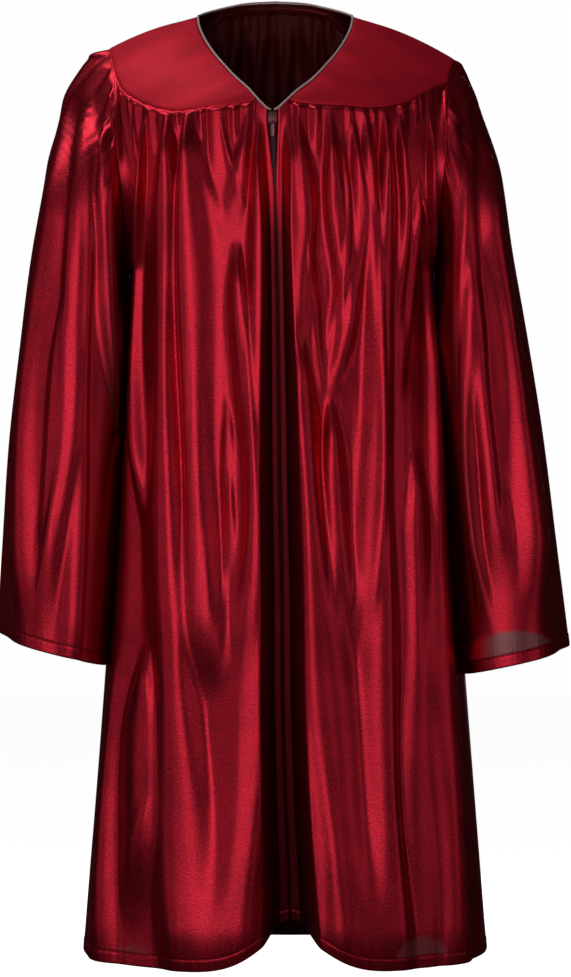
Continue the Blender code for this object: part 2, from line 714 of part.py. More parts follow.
def clear_of_body(points, side):
    """Below the underarm, presses a sleeve's inner side out to just clear of the body."""
    x, y, z = points[..., 0] * side, points[..., 1], points[..., 2]
    angle = angle_for_depth(y, z)
    body = body_half_width(z, side) * squared_round(angle, BODY_SQUARENESS)[0]
    nearest = body + SLEEVE_CLEARANCE + FOLD_ROOM * ease((np.abs(y) - ROOM_STARTS) / ROOM_GROWS_OVER)
    pressed = nearest + PRESS_SOFTNESS * np.logaddexp(0, (x - nearest) / PRESS_SOFTNESS)
    amount = ease((UNDERARM - z) / PRESS_STARTS_OVER)
    pushed = points.copy()
    pushed[..., 0] = side * (x + (pressed - x) * amount)
    return pushed


def grid_normals(points):
    """Directions square to a surface, from its neighbouring points."""
    down = np.gradient(points, axis=0)
    over = np.gradient(points, axis=1)
    normals = np.cross(over, down)
    return normals / np.linalg.norm(normals, axis=-1, keepdims=True)


def material(name, colour, roughness, metallic):
    made = bpy.data.materials.new(name)
    made.use_nodes = True
    shader = made.node_tree.nodes["Principled BSDF"]
    shader.inputs["Base Color"].default_value = (*colour, 1)
    shader.inputs["Roughness"].default_value = roughness
    shader.inputs["Metallic"].default_value = metallic
    return made


def add_object(name, mesh, finish, parts):
    made = bpy.data.objects.new(name, mesh)
    made.data.materials.append(finish)
    parts.objects.link(made)
    return made


def shell(name, points, wall, finish, parts, tube=False):
    """An open surface through rows of points, thickened inwards by Solidify."""
    rows, columns = points.shape[:2]
    cloth = bmesh.new()
    bmesh.ops.create_grid(cloth, x_segments=columns - 1, y_segments=rows - 1, size=1)
    for vertex, place in zip(cloth.verts, points.reshape(-1, 3)):
        vertex.co = place
    if tube:
        bmesh.ops.remove_doubles(cloth, verts=cloth.verts, dist=1e-6)
    mesh = bpy.data.meshes.new(name)
    cloth.to_mesh(mesh)
    cloth.free()
    mesh.shade_smooth()
    made = add_object(name, mesh, finish, parts)
    thick = made.modifiers.new("wall", "SOLIDIFY")
    thick.thickness = wall
    thick.offset = -1
    return made


def facing_out(points, side):
    """Rows of a left-hand piece run the right way round; a right-hand piece is turned over."""
    return points if side == LEFT else points[:, ::-1]


def make_yoke(side, finish, parts):
    across, run = np.meshgrid(
        np.linspace(0, 1, YOKE_ROWS + 1), np.linspace(0, 1, YOKE_COLUMNS + 1), indexing="ij"
    )
    points = yoke_surface(side, across, run)
    shell("yoke_" + SIDE_NAME[side], facing_out(points, side), WALL, finish, parts)


def front_shares():
    channel = np.linspace(0, CHANNEL_SHARE, CHANNEL_COLUMNS + 1)
    panel = np.linspace(CHANNEL_SHARE, 1, FRONT_COLUMNS + 1)[1:]
    return np.concatenate((channel, panel))


def make_front(side, finish, parts):
    points = front_surface(side, front_shares(), PANEL_ROWS)
    shell("front_" + SIDE_NAME[side], facing_out(points, side), WALL, finish, parts)


def make_back(finish, parts):
    points = back_surface(np.linspace(1, -1, BACK_COLUMNS + 1), PANEL_ROWS)
    shell("back", points[:, ::-1], WALL, finish, parts)


def make_sleeve(side, finish, parts):
    around = np.linspace(0, 360, SLEEVE_COLUMNS + 1)
    points = sleeve_surface(side, around, SLEEVE_ROWS)
    shell("sleeve_" + SIDE_NAME[side], facing_out(points, -side), WALL, finish, parts, tube=True)


def make_back_neck_band(finish, parts):
    run = np.linspace(-1, 1, NECK_BAND_COLUMNS + 1) * NECK_BAND_LENGTH_SHARE
    edges = [
        np.where(run[:, None] < 0, edge(np.abs(run), LEFT), edge(np.abs(run), RIGHT))
        for edge in (band_foot, band_top)
    ]
    shell("back_neck_band", np.stack(edges), WALL, finish, parts)


def make_neck_edging(finish, parts):
    """A thin roll along the whole neckline, just above the edges of the pieces below it."""
    share = np.linspace(0, 1, EDGING_POINTS)
    lift = EDGING_RADIUS + SEAM_GAP
    halves = []
    for side in (LEFT, RIGHT):
        leaning = np.sin(pi * np.clip(share / EDGING_LEANS_UNTIL, 0, 1))
        inward = np.stack([-side * leaning, 0 * share, 0 * share + EDGING_RISE], axis=-1)
        inward /= np.linalg.norm(inward, axis=-1, keepdims=True)
        halves.append(neckline(share, side) + inward * lift)
    path = np.concatenate((halves[0], halves[1][-2::-1]))
    curve = bpy.data.curves.new("neck_edging", "CURVE")
    curve.dimensions = "3D"
    curve.bevel_depth = EDGING_RADIUS
    curve.bevel_resolution = 1
    curve.use_fill_caps = True
    spline = curve.splines.new("POLY")
    spline.points.add(len(path) - 1)
    for point, place in zip(spline.points, path):
        point.co = (*place, 1)
    add_object("neck_edging", curve, finish, parts)


def channel_floor(z):
    """The middle line of the zip."""
    return np.stack([by_height(CHANNEL, "axis", z), -by_height(CHANNEL, "floor", z), z], axis=-1)


def zip_heights(top, foot):
    """Heights of the fronts' rows between two others, so that the zip follows the fronts."""
    edge = NECKLINE[0].z * MM
    rows = edge + (HEM_FRONT + HEM_ARCH - edge) * np.array(PANEL_ROWS)
    return np.array([top, *rows[(rows < top - ROW_MARGIN) & (rows > foot + ROW_MARGIN)], foot])


def make_zip_tape(side, finish, parts):
    """A strip behind the edge of a front, made from the front's own points."""
    front = front_surface(side, front_shares(), PANEL_ROWS)
    inward = grid_normals(front)
    inward *= np.sign(inward[..., 1:2])
    behind = front + inward * (WALL + TAPE_GAP)
    rows = front[:, 1, 2] > ZIP_END - TAPE_PAST_END
    strip = behind[rows, TAPE_FIRST_COLUMN:TAPE_LAST_COLUMN + 1]
    floor = channel_floor(strip[:, 0, 2])
    floor += np.array([side * TAPE_FROM_MIDDLE, WALL + TAPE_GAP, 0])
    strip = np.concatenate((floor[:, None, :], strip), axis=1)
    shell("zip_tape_" + SIDE_NAME[side], facing_out(strip, side), TAPE_WALL, finish, parts)


def make_strip(name, z, width, thickness, behind, finish, parts):
    """A flat strip down the middle line of the zip."""
    middle = channel_floor(z) + np.array([0, behind, 0])
    across = np.array([[width / 2, 0, 0], [-width / 2, 0, 0]])
    points = middle[:, None, :] + across[None, :, :]
    shell(name, points, thickness, finish, parts)


def box(shape, centre, size):
    place = Matrix.Translation(centre) @ Matrix.Diagonal((*size, 1))
    bmesh.ops.create_cube(shape, size=1, matrix=place)


def cylinder_across(shape, centre, radius, length, segments=16):
    place = Matrix.Translation(centre) @ Matrix.Rotation(pi / 2, 4, "Y")
    bmesh.ops.create_cone(
        shape, cap_ends=True, segments=segments, radius1=radius, radius2=radius, depth=length, matrix=place
    )


def union(name, shapes, finish, parts, cut=None):
    """Joins simple shapes into one body, and cuts another out of it."""
    cutters = bpy.data.collections["cutters"]
    base = None
    for number, (kind, *values) in enumerate([*shapes, *(cut or [])]):
        mesh_data = bmesh.new()
        kind(mesh_data, *values)
        mesh = bpy.data.meshes.new(name)
        mesh_data.to_mesh(mesh)
        mesh_data.free()
        if base is None:
            base = add_object(name, mesh, finish, parts)
            continue
        other = bpy.data.objects.new(name + "_tool_%d" % number, mesh)
        other.hide_render = True
        other.display_type = "WIRE"
        cutters.objects.link(other)
        step = base.modifiers.new("step_%d" % number, "BOOLEAN")
        step.operation = "UNION" if number < len(shapes) else "DIFFERENCE"
        step.object = other
    return base


def slider_places():
    """The zip's middle at the slider, the fronts of chain and slider, and the pull's pin."""
    middle = channel_floor(np.array(SLIDER_TOP - SLIDER_HEIGHT / 2))
    chain_front = middle[1] + WALL + SEAM_GAP
    plate_front = chain_front - SEAM_GAP - PLATE
    pin_front = plate_front - TAB_EYE_RADIUS - TAB_EYE_WALL - TAB_CLEARANCE
    pin = np.array([middle[0], pin_front, SLIDER_TOP - SLIDER_HEIGHT + TAB_EYE_WALL])
    return middle, chain_front, plate_front, pin


def make_slider(finish, parts):
    """Two plates round the chain, joined above it, with ears that hold the pull's pin."""
    middle, chain_front, plate_front, pin = slider_places()
    chain_back = chain_front + CHAIN_THICKNESS
    x, z = middle[0], SLIDER_TOP - SLIDER_HEIGHT / 2
    thick = chain_back + SEAM_GAP + PLATE - plate_front
    shapes = [
        (box, (x, plate_front + PLATE / 2, z), (SLIDER_WIDTH, PLATE, SLIDER_HEIGHT)),
        (box, (x, chain_back + SEAM_GAP + PLATE / 2, z), (SLIDER_WIDTH, PLATE, SLIDER_HEIGHT)),
    ]
    neck_size = (SLIDER_WIDTH * SLIDER_NECK_SHARE, thick, SLIDER_NECK)
    shapes.append((box, (x, plate_front + thick / 2, SLIDER_TOP - SLIDER_NECK / 2), neck_size))
    ear_depth = plate_front - pin[1] + PIN_RADIUS * 2
    for side in (LEFT, RIGHT):
        ear_x = x + side * (TAB_WIDTH / 2 + SEAM_GAP + EAR / 2)
        place = (ear_x, plate_front + (EAR_ROOT - ear_depth) / 2, pin[2])
        shapes.append((box, place, (EAR, ear_depth + EAR_ROOT, EAR * 2)))
    pin_length = TAB_WIDTH + 2 * (SEAM_GAP + EAR * 0.75)
    shapes.append((cylinder_across, tuple(pin), PIN_RADIUS, pin_length, 12))
    union("zip_slider", shapes, finish, parts)


def make_pull_tab(finish, parts):
    """A small tab that hangs from the slider's pin by its eye."""
    pin = slider_places()[3]
    eye_outer = TAB_EYE_RADIUS + TAB_EYE_WALL
    blade = (pin[0], pin[1], pin[2] - TAB_EYE_RADIUS - TAB_LENGTH / 2)
    shapes = [
        (cylinder_across, tuple(pin), eye_outer, TAB_WIDTH, 20),
        (box, blade, (TAB_WIDTH, TAB_THICKNESS, TAB_LENGTH)),
    ]
    hole = [(cylinder_across, tuple(pin), TAB_EYE_RADIUS, TAB_WIDTH * 2, 16)]
    union("pull_tab", shapes, finish, parts, cut=hole)


def main():
    clear_scene()
    parts = bpy.data.collections.new("graduation gown")
    cutters = bpy.data.collections.new("cutters")
    for collection in (parts, cutters):
        bpy.context.scene.collection.children.link(collection)
    cloth = material("maroon satin", MAROON, 0.38, 0.55)
    edging = material("pale neck edging", EDGE_PINK, 0.7, 0.0)
    tape = material("zip tape", ZIP_RED, 0.7, 0.0)
    enamel = material("enamelled zip", ZIP_RED, 0.35, 0.6)
    for side in (LEFT, RIGHT):
        make_yoke(side, cloth, parts)
        make_front(side, cloth, parts)
        make_sleeve(side, cloth, parts)
        make_zip_tape(side, tape, parts)
    make_back(cloth, parts)
    make_back_neck_band(cloth, parts)
    make_neck_edging(edging, parts)
    slider_middle, chain_front, _, _ = slider_places()
    behind = chain_front - slider_middle[1]
    chain_z = zip_heights(SLIDER_TOP - CHAIN_BELOW_SLIDER_TOP, ZIP_END + CHAIN_ABOVE_END)
    make_strip("zip_chain", chain_z, CHAIN_WIDTH, CHAIN_THICKNESS, behind, tape, parts)
    stop_z = np.array([STOP_ABOVE_END + STOP_LENGTH, STOP_ABOVE_END]) + ZIP_END
    make_strip("zip_bottom_stop", stop_z, CHAIN_WIDTH, CHAIN_THICKNESS, behind, enamel, parts)
    make_slider(enamel, parts)
    make_pull_tab(enamel, parts)


main()
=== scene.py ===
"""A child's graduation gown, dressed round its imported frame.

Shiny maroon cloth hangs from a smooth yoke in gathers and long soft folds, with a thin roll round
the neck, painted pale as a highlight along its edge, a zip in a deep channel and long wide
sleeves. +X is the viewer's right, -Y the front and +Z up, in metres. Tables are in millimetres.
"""

from collections import namedtuple
from math import atan, pi, radians

import bmesh
import bpy
import numpy as np
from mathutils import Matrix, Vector


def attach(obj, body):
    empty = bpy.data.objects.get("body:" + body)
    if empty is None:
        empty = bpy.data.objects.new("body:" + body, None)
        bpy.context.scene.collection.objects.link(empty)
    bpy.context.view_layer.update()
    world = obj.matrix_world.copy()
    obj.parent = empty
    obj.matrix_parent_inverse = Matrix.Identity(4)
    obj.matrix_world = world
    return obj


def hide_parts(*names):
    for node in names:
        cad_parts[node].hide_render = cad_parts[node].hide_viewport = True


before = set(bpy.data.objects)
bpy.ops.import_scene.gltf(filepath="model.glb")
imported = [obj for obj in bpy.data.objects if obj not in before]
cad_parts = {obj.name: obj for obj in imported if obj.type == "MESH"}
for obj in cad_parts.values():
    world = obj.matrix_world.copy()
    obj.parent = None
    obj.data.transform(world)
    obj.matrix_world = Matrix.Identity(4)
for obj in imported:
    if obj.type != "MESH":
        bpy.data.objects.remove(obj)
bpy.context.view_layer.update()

bl_info = {
    "name": "Graduation gown",
    "version": (1, 0, 0),
    "blender": (4, 5, 0),
    "location": "3D View > Sidebar > Gown",
    "description": "Builds the cloth, neck edging and zip of a graduation gown, and its studio",
    "category": "Add Mesh",
}

MM = 0.001
LEFT, RIGHT = -1, 1
SIDE_NAME = {LEFT: "left", RIGHT: "right"}
IMAGE_WIDTH, IMAGE_HEIGHT = 571, 977

# Seams: the pieces all but meet, and the lower one runs on a little behind the upper one, in steps
# up and in
SEAM_GAP = 0.0002
ARMHOLE_GAP = 0.0003
TUCK_STEPS = ((0.8 * MM, 0.9 * MM), (2.2 * MM, 1.4 * MM))
TUCK_ON_MAP = np.array([[0.002], [0.001]])
# A front is tucked from this share of its channel on, and less over the zip
TUCK_STARTS = 0.7
TUCK_AT_ZIP = 0.3
SLEEVE_TUCK_RISE = 0.3
SEAM_DIP = 0.0007
SEAM_DIP_OVER = 0.0025
# Wall of the solids' cloth, which the zip's tapes lie behind
WALL = 0.0012

# Neck edging: it leans into the neck, and its ends turn in over the top of the zip
EDGING_LEANS_UNTIL = 0.92
EDGING_RISE = 0.8
EDGING_OFF_CLOTH = 0.0009
EDGING_SIDES = 12
# Back neck band: its height and slant, and how full it is between its edges
NECK_BAND_HEIGHT = 0.006
NECK_BAND_SLANT = 0.0012
BAND_FULLNESS = 0.0006
BAND_STANDS_OUT = 0.0003

# Rows of a piece, as distances under its seam and above its hem, with even ones between
UNDER_SEAM = np.array([0, .4, .9, 1.5, 2.2, 3, 4, 5.2, 6.6, 8.2, 10, 12]) * MM
ABOVE_HEM = np.array([13, 11.4, 10.6, 10.1, 9.8, 9.5, 9.2, 8.9, 8.4, 7, 5, 3, 1.4, .8, .35, 0]) * MM
FRONT_ROWS = 172
BACK_ROWS = 160
SLEEVE_ROWS = 120
CHANNEL_COLUMNS = 22
FRONT_COLUMNS = 158
BACK_COLUMNS = 236
SLEEVE_COLUMNS = 220
YOKE_COLUMNS = 150
YOKE_ROWS = 56

# The figure: half widths and depths of the body at each height
Section = namedtuple("Section", "z left right front back")
BODY = [Section(*row) for row in (
    (30, 108, 110, 60, 72), (-50, 116, 119, 80, 78), (-100, 119, 123, 87, 86),
    (-200, 119, 124, 91, 93), (-350, 127, 136, 96, 100), (-540, 140, 150, 101, 110),
    (-770, 158, 168, 106, 121),
)]
BODY_SQUARENESS = 0.13

# The channel where the fronts turn in over the zip: its axis, floor and half width
Channel = namedtuple("Channel", "z axis floor mouth")
CHANNEL = [Channel(*row) for row in (
    (-60, -5, 84.5, 9), (-82, -5, 84, 10), (-155, -2.5, 81, 11), (-232, -1, 73, 12),
    (-309, 0, 64, 14), (-386, 1, 56, 15), (-463, 2.5, 48, 16), (-540, 3, 41, 17), (-617, 5, 33, 18),
    (-690, 8, 25, 20), (-770, 10, 16, 25),
)]
CHANNEL_FLOOR_SHARE = 0.38
CHANNEL_SHARE = 0.15
ZIP_END = -0.486
EDGE_AT_NECK = 0.0042
EDGE_CLOSES_OVER = 0.070
EDGE_AT_ZIP = 0.0002
EDGE_ROLL = 0.0007
EDGE_ROLL_OVER = 0.0010

# Neckline and seams of one side: distance out from the neck's centre, then y and z
NECK_CENTRE = -3 * MM
V_POINT_LEAN = 2 * MM
LEAN_STARTS = -50 * MM
LEAN_GROWS_OVER = 32 * MM
LEAN_ENDS_OUT = 35 * MM
LEAN_FADES_OVER = 20 * MM
Point = namedtuple("Point", "out y z")
NECKLINE = [Point(*row) for row in (
    (4.5, -84, -82), (9, -82, -77.5), (19.5, -75, -66.5), (29.5, -67, -57.5), (40, -54, -45.5),
    (50.5, -38, -31.5), (57, -24, -20), (61, -12, -10), (62.5, 0, -1), (61, 18, 3), (54, 38, 8),
    (42, 54, 13), (24, 66, 18), (0, 70, 20),
)]
# The edging's ends turn in from the neckline's lowest point, by these distances
EDGING_TURNS_IN = [Point(4.1, -0.4, -1.6), Point(2.31, -0.2, -1.1)]
NECKLINE_AT_YOKE_FRONT = 0.060
NECKLINE_AT_BACK_BAND = 0.80
SHORT_OF_YOKE = 0.97
YOKE_FRONT_SEAM = [Point(*row) for row in (
    (13, -80.2, -74.6), (26, -81, -77), (52, -79, -78.5), (80, -72, -79), (102, -60, -74),
    (119, -46, -64),
)]
LEFT_SEAM_DIP = 3 * MM
LEFT_SEAM_DIP_AT = 80 * MM
LEFT_SEAM_DIP_HALF_WIDTH = 25 * MM

# Where along its outer edge the yoke's front seam, armhole and back seam end
YOKE_SHARES = (0.57, 0.75, 1.0)
# The yoke's cloth stands out between its edges, facing forwards at one end and back at the other
YOKE_BULGE = 0.055
YOKE_FACING = radians(66)
YOKE_TURNS_FROM = 0.30
# Faint waves in it, away from its edges, and how its outer edge rolls under
YOKE_WAVE = 0.0003
YOKE_WAVE_FROM = 0.012
YOKE_WAVE_ALONG, YOKE_WAVE_ACROSS = 95, 40
YOKE_SWELL_ALONG, YOKE_SWELL_PHASE = 38, 1.3
YOKE_ROLL = 0.0006
YOKE_ROLL_OVER = 0.0022
BACK_BAND_SHARE = 0.30
YOKE_BACK_SEAM = [Point(*row) for row in (
    (116, 50, -54), (90, 65, -46), (68, 66, -22), (54, 57, -3),
)]

# Armhole of one side: degrees round it, distance out from the body, then y and z
Armhole = namedtuple("Armhole", "around out y z")
ARMHOLE = [Armhole(*row) for row in (
    (0, 23, 0, -26), (30, 15, -28, -48), (60, 11, -50, -78), (90, 7, -60, -115),
    (120, 4, -52, -155), (150, 1.5, -30, -190), (180, 0, 0, -205), (210, 1.5, 33, -190),
    (240, 4.5, 55, -153), (270, 8, 62, -112), (300, 12, 50, -74), (330, 17, 28, -46),
    (360, 23, 0, -26),
)]
YOKE_CORNER_FRONT = 30
YOKE_CORNER_BACK = 330
RIGHT_TIP_DROP = 8 * MM

# Sleeves: how far the outer side stands out at each height, and the depths to front and back
Reach = namedtuple("Reach", "z out")
SLEEVE_REACH = {
    LEFT: [Reach(*row) for row in (
        (-26, 139.5), (-28, 148), (-34.5, 154.5), (-48, 163), (-63, 169.5), (-82, 172), (-106, 177),
        (-138, 182), (-186, 190), (-266, 199.5), (-346, 208.5), (-410, 213), (-474, 216.5),
        (-540, 218),
    )],
    RIGHT: [Reach(*row) for row in (
        (-34, 142), (-36, 145), (-42, 149), (-53, 154), (-66, 159.5), (-82, 163), (-106, 168),
        (-138, 173), (-186, 179), (-266, 192), (-346, 204.5), (-410, 213), (-474, 221), (-540, 228),
    )],
}
Depth = namedtuple("Depth", "z front back")
SLEEVE_DEPTH = [Depth(*row) for row in (
    (-20, 34, 34), (-80, 56, 56), (-130, 65, 66), (-205, 70, 72), (-350, 77, 80), (-540, 84, 88),
)]
SLEEVE_SQUARENESS = 0.16
UNDERARM = -0.205
# How the inner side hangs: against the body's side, with a little room for folds beyond it
SLEEVE_CLEARANCE = -0.0022
FOLD_ROOM = 0.005
SLEEVE_WRAP = 0.008
SLEEVE_WRAPS_OVER = 0.060
ROOM_STARTS = 0.015
ROOM_GROWS_OVER = 0.040
PRESS_SOFTNESS = 0.0015
PRESS_STARTS_OVER = 0.015
INNER_SIDE_COSINE = 0.35

# Ends: height at the middle, lift of the outer side and lift of the back
CuffEnd = namedtuple("CuffEnd", "height outer_lift back_lift")
CUFF = {LEFT: CuffEnd(-507, 12.5, 28), RIGHT: CuffEnd(-515, 10.5, 17)}
HEM_FRONT = -0.7505
HEM_SIDE = -0.7435
HEM_BACK = -0.750
HEM_ARCH = 0.030
HEM_ARCH_HALF_WIDTH = 0.034

# Folds of the fronts and back. Each runs down through four places, in millimetres across the
# gown, evenly spaced from its top to its foot, and stands out by its height.
Fold = namedtuple("Fold", "top foot x0 x1 x2 x3 half_width height")
TO_HEM = -800
FRONT_FOLDS = [Fold(*row) for row in (
    (-300, TO_HEM, -115, -122, -137, -142, 9, 6), (-78, -425, -104, -109, -111, -101, 6, 8),
    (-78, TO_HEM, -86, -86, -76, -66, 9, 10), (-78, -556, -72, -69, -62, -50, 9, 9),
    (-300, -548, -40, -37, -38, -44, 5, 4), (-180, -545, -33, -24, -19, -34, 6, 7),
    (-84, TO_HEM, -14, -14, -18, -42, 8, 9), (-78, -190, -67, -64, -55, -39, 5.5, 5),
    (-78, -190, -20, -27, -31, -39, 5.5, 5), (-490, -730, -100, -102, -104, -117, 7, 6),
    (-84, TO_HEM, 8, 11, 19, 40, 7.5, 8), (-250, TO_HEM, 16, 26, 43, 63, 7.5, 10),
    (-80, -320, 12, 22, 20, 37, 5.5, 6), (-78, -320, 39, 43, 51, 38, 6, 6),
    (-300, -530, 40, 41, 47, 57, 6.5, 8), (-78, -530, 68, 74, 73, 59, 5.5, 7),
    (-78, TO_HEM, 83, 79, 80, 89, 6.5, 9), (-78, -320, 92, 98, 91, 93, 5.5, 6),
    (-130, -320, 111, 104, 98, 93, 5.5, 5), (-70, TO_HEM, 117, 121, 129, 139, 7, 8),
    (-340, TO_HEM, 105, 110, 112, 110, 8, 4),
)]
BACK_FOLDS = [Fold(*row) for row in (
    (5, TO_HEM, -6, -10, -4, -12, 9, 11), (5, TO_HEM, 14, 22, 28, 33, 8, 9),
    (5, -470, 34, 45, 50, 66, 7, 8), (-10, TO_HEM, 54, 66, 73, 80, 9, 11),
    (-40, -390, 78, 88, 92, 104, 7, 7), (-50, TO_HEM, 100, 110, 118, 124, 8, 9),
    (-330, TO_HEM, 46, 50, 54, 57, 8, 6), (5, TO_HEM, -27, -40, -43, -52, 8, 10),
    (0, -420, -47, -58, -62, -74, 7, 8), (-20, TO_HEM, -68, -78, -86, -90, 9, 11),
    (-50, -560, -92, -98, -104, -116, 7, 7), (-60, TO_HEM, -110, -116, -124, -132, 8, 8),
    (-400, TO_HEM, -28, -27, -30, -33, 7, 6),
)]
# Smaller creases between the folds of the fronts and the back
LEFT_CREASES = [Fold(*row) for row in (
    (-84, -190, -46, -38, -28, -24, 3, 3), (-98, -200, -93, -92, -90, -88, 2.6, 2.6),
    (-76, -140, -114, -114, -112, -107.6, 3, 3), (-345, -420, -94, -95, -98, -103, 3, 3.5),
    (-350, -470, -38, -36, -35, -37, 3, 3.5), (-600, -705, -94, -101, -110, -124, 5, 5),
)]
RIGHT_CREASES = [Fold(*row) for row in (
    (-86, -320, 58, 63, 56, 37, 4.5, 6), (-100, -300, 48.7, 53.3, 46, 34, 3, 4),
    (-165, -330, 22, 25, 30, 36, 3.5, 4), (-100, -215, 73, 71, 77, 77, 3, 4),
    (-90, -165, 38.7, 40, 41, 42, 2.6, 3), (-95, -140, 9, 15, 19.4, 21, 2.6, 2.5),
    (-128, -330, 109, 115, 117, 121, 3.5, 5), (-100, -170, 118, 118, 117, 117, 2.6, 3),
    (-320, -400, 69, 67, 64, 58, 3, 3),
)]
BACK_CREASES = [Fold(*row) for row in (
    (0, -210, -16, -18, -14, -11, 3.5, 4), (0, -300, 6, 4, 9, 12, 4, 4),
    (0, -180, 24, 29, 34, 36, 3, 3.5), (-20, -330, 66, 76, 82, 80, 4, 5),
    (-40, -260, 92, 100, 103, 104, 3, 4), (0, -260, -36, -48, -54, -52, 3.5, 4),
    (-20, -320, -58, -70, -76, -84, 4, 5), (-40, -240, -84, -92, -96, -98, 3, 4),
    (-300, -520, 14, 12, 10, 4, 4, 4), (-330, -600, -66, -64, -68, -66, 4, 4),
    (-420, -640, 96, 92, 98, 102, 5, 4), (-480, -700, -100, -106, -108, -112, 5, 5),
)]

# Folds of the sleeves' outer sides and backs, placed in degrees round the sleeve from its outer
# side to the front
SLEEVE_BACK_FOLDS = {
    LEFT: [Fold(*row) for row in (
        (-20, TO_HEM, 8, 2, 8, 12, 11, 6), (-20, TO_HEM, -36, -30, -38, -34, 12, 8),
        (-30, -420, -66, -74, -70, -56, 8, 6), (-40, TO_HEM, -94, -104, -98, -108, 10, 7),
    )],
    RIGHT: [Fold(*row) for row in (
        (-20, TO_HEM, 18, 10, 6, 12, 11, 6), (-20, TO_HEM, -26, -36, -32, -30, 12, 8),
        (-30, -440, -60, -64, -72, -52, 8, 6), (-40, TO_HEM, -92, -98, -106, -100, 10, 7),
    )],
}
# Folds that show on the sleeves' fronts, placed in millimetres out from the gown's middle
SLEEVE_FRONT_FOLDS = {
    LEFT: [Fold(*row) for row in (
        (-40, -505, 156, 184, 199, 202, 9, 8), (-50, -500, 150, 159.5, 165.5, 190, 6, 6),
        (-50, -560, 147.5, 151, 155.5, 163, 5, 5), (-75, -360, 134, 136.5, 133, 124, 6.5, 7),
        (-50, -105, 146, 144, 142, 137, 3.5, 4), (-62, -108, 129, 129, 131, 135, 3.5, 4),
        (-215, -480, 167, 173, 178, 184, 6, 4), (-125, -210, 125, 128, 129, 126, 3.5, 3),
    )],
    RIGHT: [Fold(*row) for row in (
        (-50, -330, 129, 142, 141.5, 137.5, 5, 5), (-50, -500, 143.5, 147.5, 148.5, 164, 5.5, 6),
        (-80, -490, 152, 175, 192, 206, 10, 8), (-190, -460, 152, 156, 165, 171, 5.5, 5),
        (-370, -470, 175, 177, 179, 182, 7, 3), (-80, -150, 126.5, 127, 127, 127, 3.5, 3),
    )],
}
# The placed folds of a sleeve take over from the turned ones where its front begins
SLEEVE_FRONT_FROM_SINE = -0.05
SLEEVE_FRONT_OVER_SINE = 0.25

# How every fold begins and ends, and how flat its crest is
FOLD_STARTS_OVER = 0.040
FOLD_START_WIDTH = 0.35
FOLD_WIDENS_OVER = 0.075
FOLD_ENDS_OVER = 0.085
FOLD_RISES_FROM_SEAM = 0.009
FOLD_SQUARENESS = 3.0
# Folds grow wider and deeper on the way down
FOLD_FLARE = 0.5
FLARE_STARTS = -0.25
FLARE_OVER = 0.5
FOLD_FULLNESS = 1.15
FOLD_SPREAD = 0.55
SPREAD_STARTS = -0.28
SPREAD_OVER = 0.42
# Slow waves in a fold's width, height and lean: the size, the turns for each metre down and how
# far each fold of a table is out of step with the one before
Wave = namedtuple("Wave", "size turns step")
WIDTH_WAVE = Wave(0.14, 24.0, 2.4)
HEIGHT_WAVE = Wave(0.14, 16.8, 1.3)
LEAN_WAVE = Wave(0.30, 6.0, 1.9)

# Gathers where a piece is drawn up into a seam, and how far they drift from even spacing
GATHER_HEIGHT = 0.0034
GATHER_DEPTH = 0.052
GATHER_STARTS_OVER = 0.004
GATHER_ROUNDNESS = 0.4
SMALLEST_GATHER = 0.4
SHORTEST_GATHER = 0.4
SCATTER_TURNS = 12.9898
SCATTER_REACH = 437.585
Drift = namedtuple("Drift", "size turns phase")
GATHER_DRIFTS = [Drift(0.018, 5.1, 0.0), Drift(0.010, 12.7, 1.0)]
# Seeds of the gathers and the ripples; the side is added to those of a pair
Seed = namedtuple("Seed", "gathers ripples")
FRONT_SEED, BACK_SEED, SLEEVE_SEED = Seed(1.0, 2.0), Seed(3.0, 4.0), Seed(6.0, 8.0)
FRONT_GATHERS_FROM = 0.17
FRONT_GATHERS_TO = 0.97
BACK_GATHERS_TO = 0.97
FRONT_GATHERS = 12
BACK_GATHERS = 28
SLEEVE_GATHERS = 15
SLEEVE_GATHERS_REACH = 105

# Folds die away beside the armhole's seam, and lie flat where the sleeve hangs against the body
SEWN_FADES_OVER = 0.030
SEWN_EDGE_SHARE = 0.14
FLAT_FROM_SINE = 0.86
FLAT_OVER_SINE = 0.12
FLAT_BY = 0.85
# The columns' own lines turn in gently towards the armhole, and only the last ones follow its edge
COLUMNS_TURN_FROM = -0.090
COLUMNS_TURN_OVER = 0.170
COLUMNS_AT_TOP = radians(47)
EDGE_FOLLOWED_POWER = 7

# Distance down over which a piece leaves its seam for the figure below
FRONT_FADE = 0.110
BACK_FADE = 0.120
SLEEVE_FADE = 0.090

# Faint upright ripples in the thin cloth: a first set, a second one as shares of it, how both
# drift on the way down, and how they come and go across and down
RIPPLE_HEIGHT = 0.00006
RIPPLE_LENGTH = 0.0083
SECOND_RIPPLE_LENGTH = 0.61
SECOND_RIPPLE_HEIGHT = 0.6
SECOND_RIPPLE_DRIFT = 1.7
RIPPLE_DRIFTS = [Drift(2.2, 9, 1), Drift(1.1, 23, 2)]
RIPPLES_CHANGE_ACROSS = 31
RIPPLES_CHANGE_DOWN = 11

# Turned hems: their depth, how far the double cloth stands out, and the stitches that hold them
HEM_DEPTH = 0.0095
HEM_DOUBLE = 0.00038
HEM_STEP = 0.0009
HEM_ROLL = 0.0003
STITCH_GROOVE = 0.00025
STITCH_GROOVE_WIDTH = 0.0006
PUCKER_HEIGHT = 0.00014
PUCKER_LENGTH = 0.0056
PUCKER_REACH = 0.007
PUCKER_DRIFT = 60
STITCH_LENGTH = 0.0026
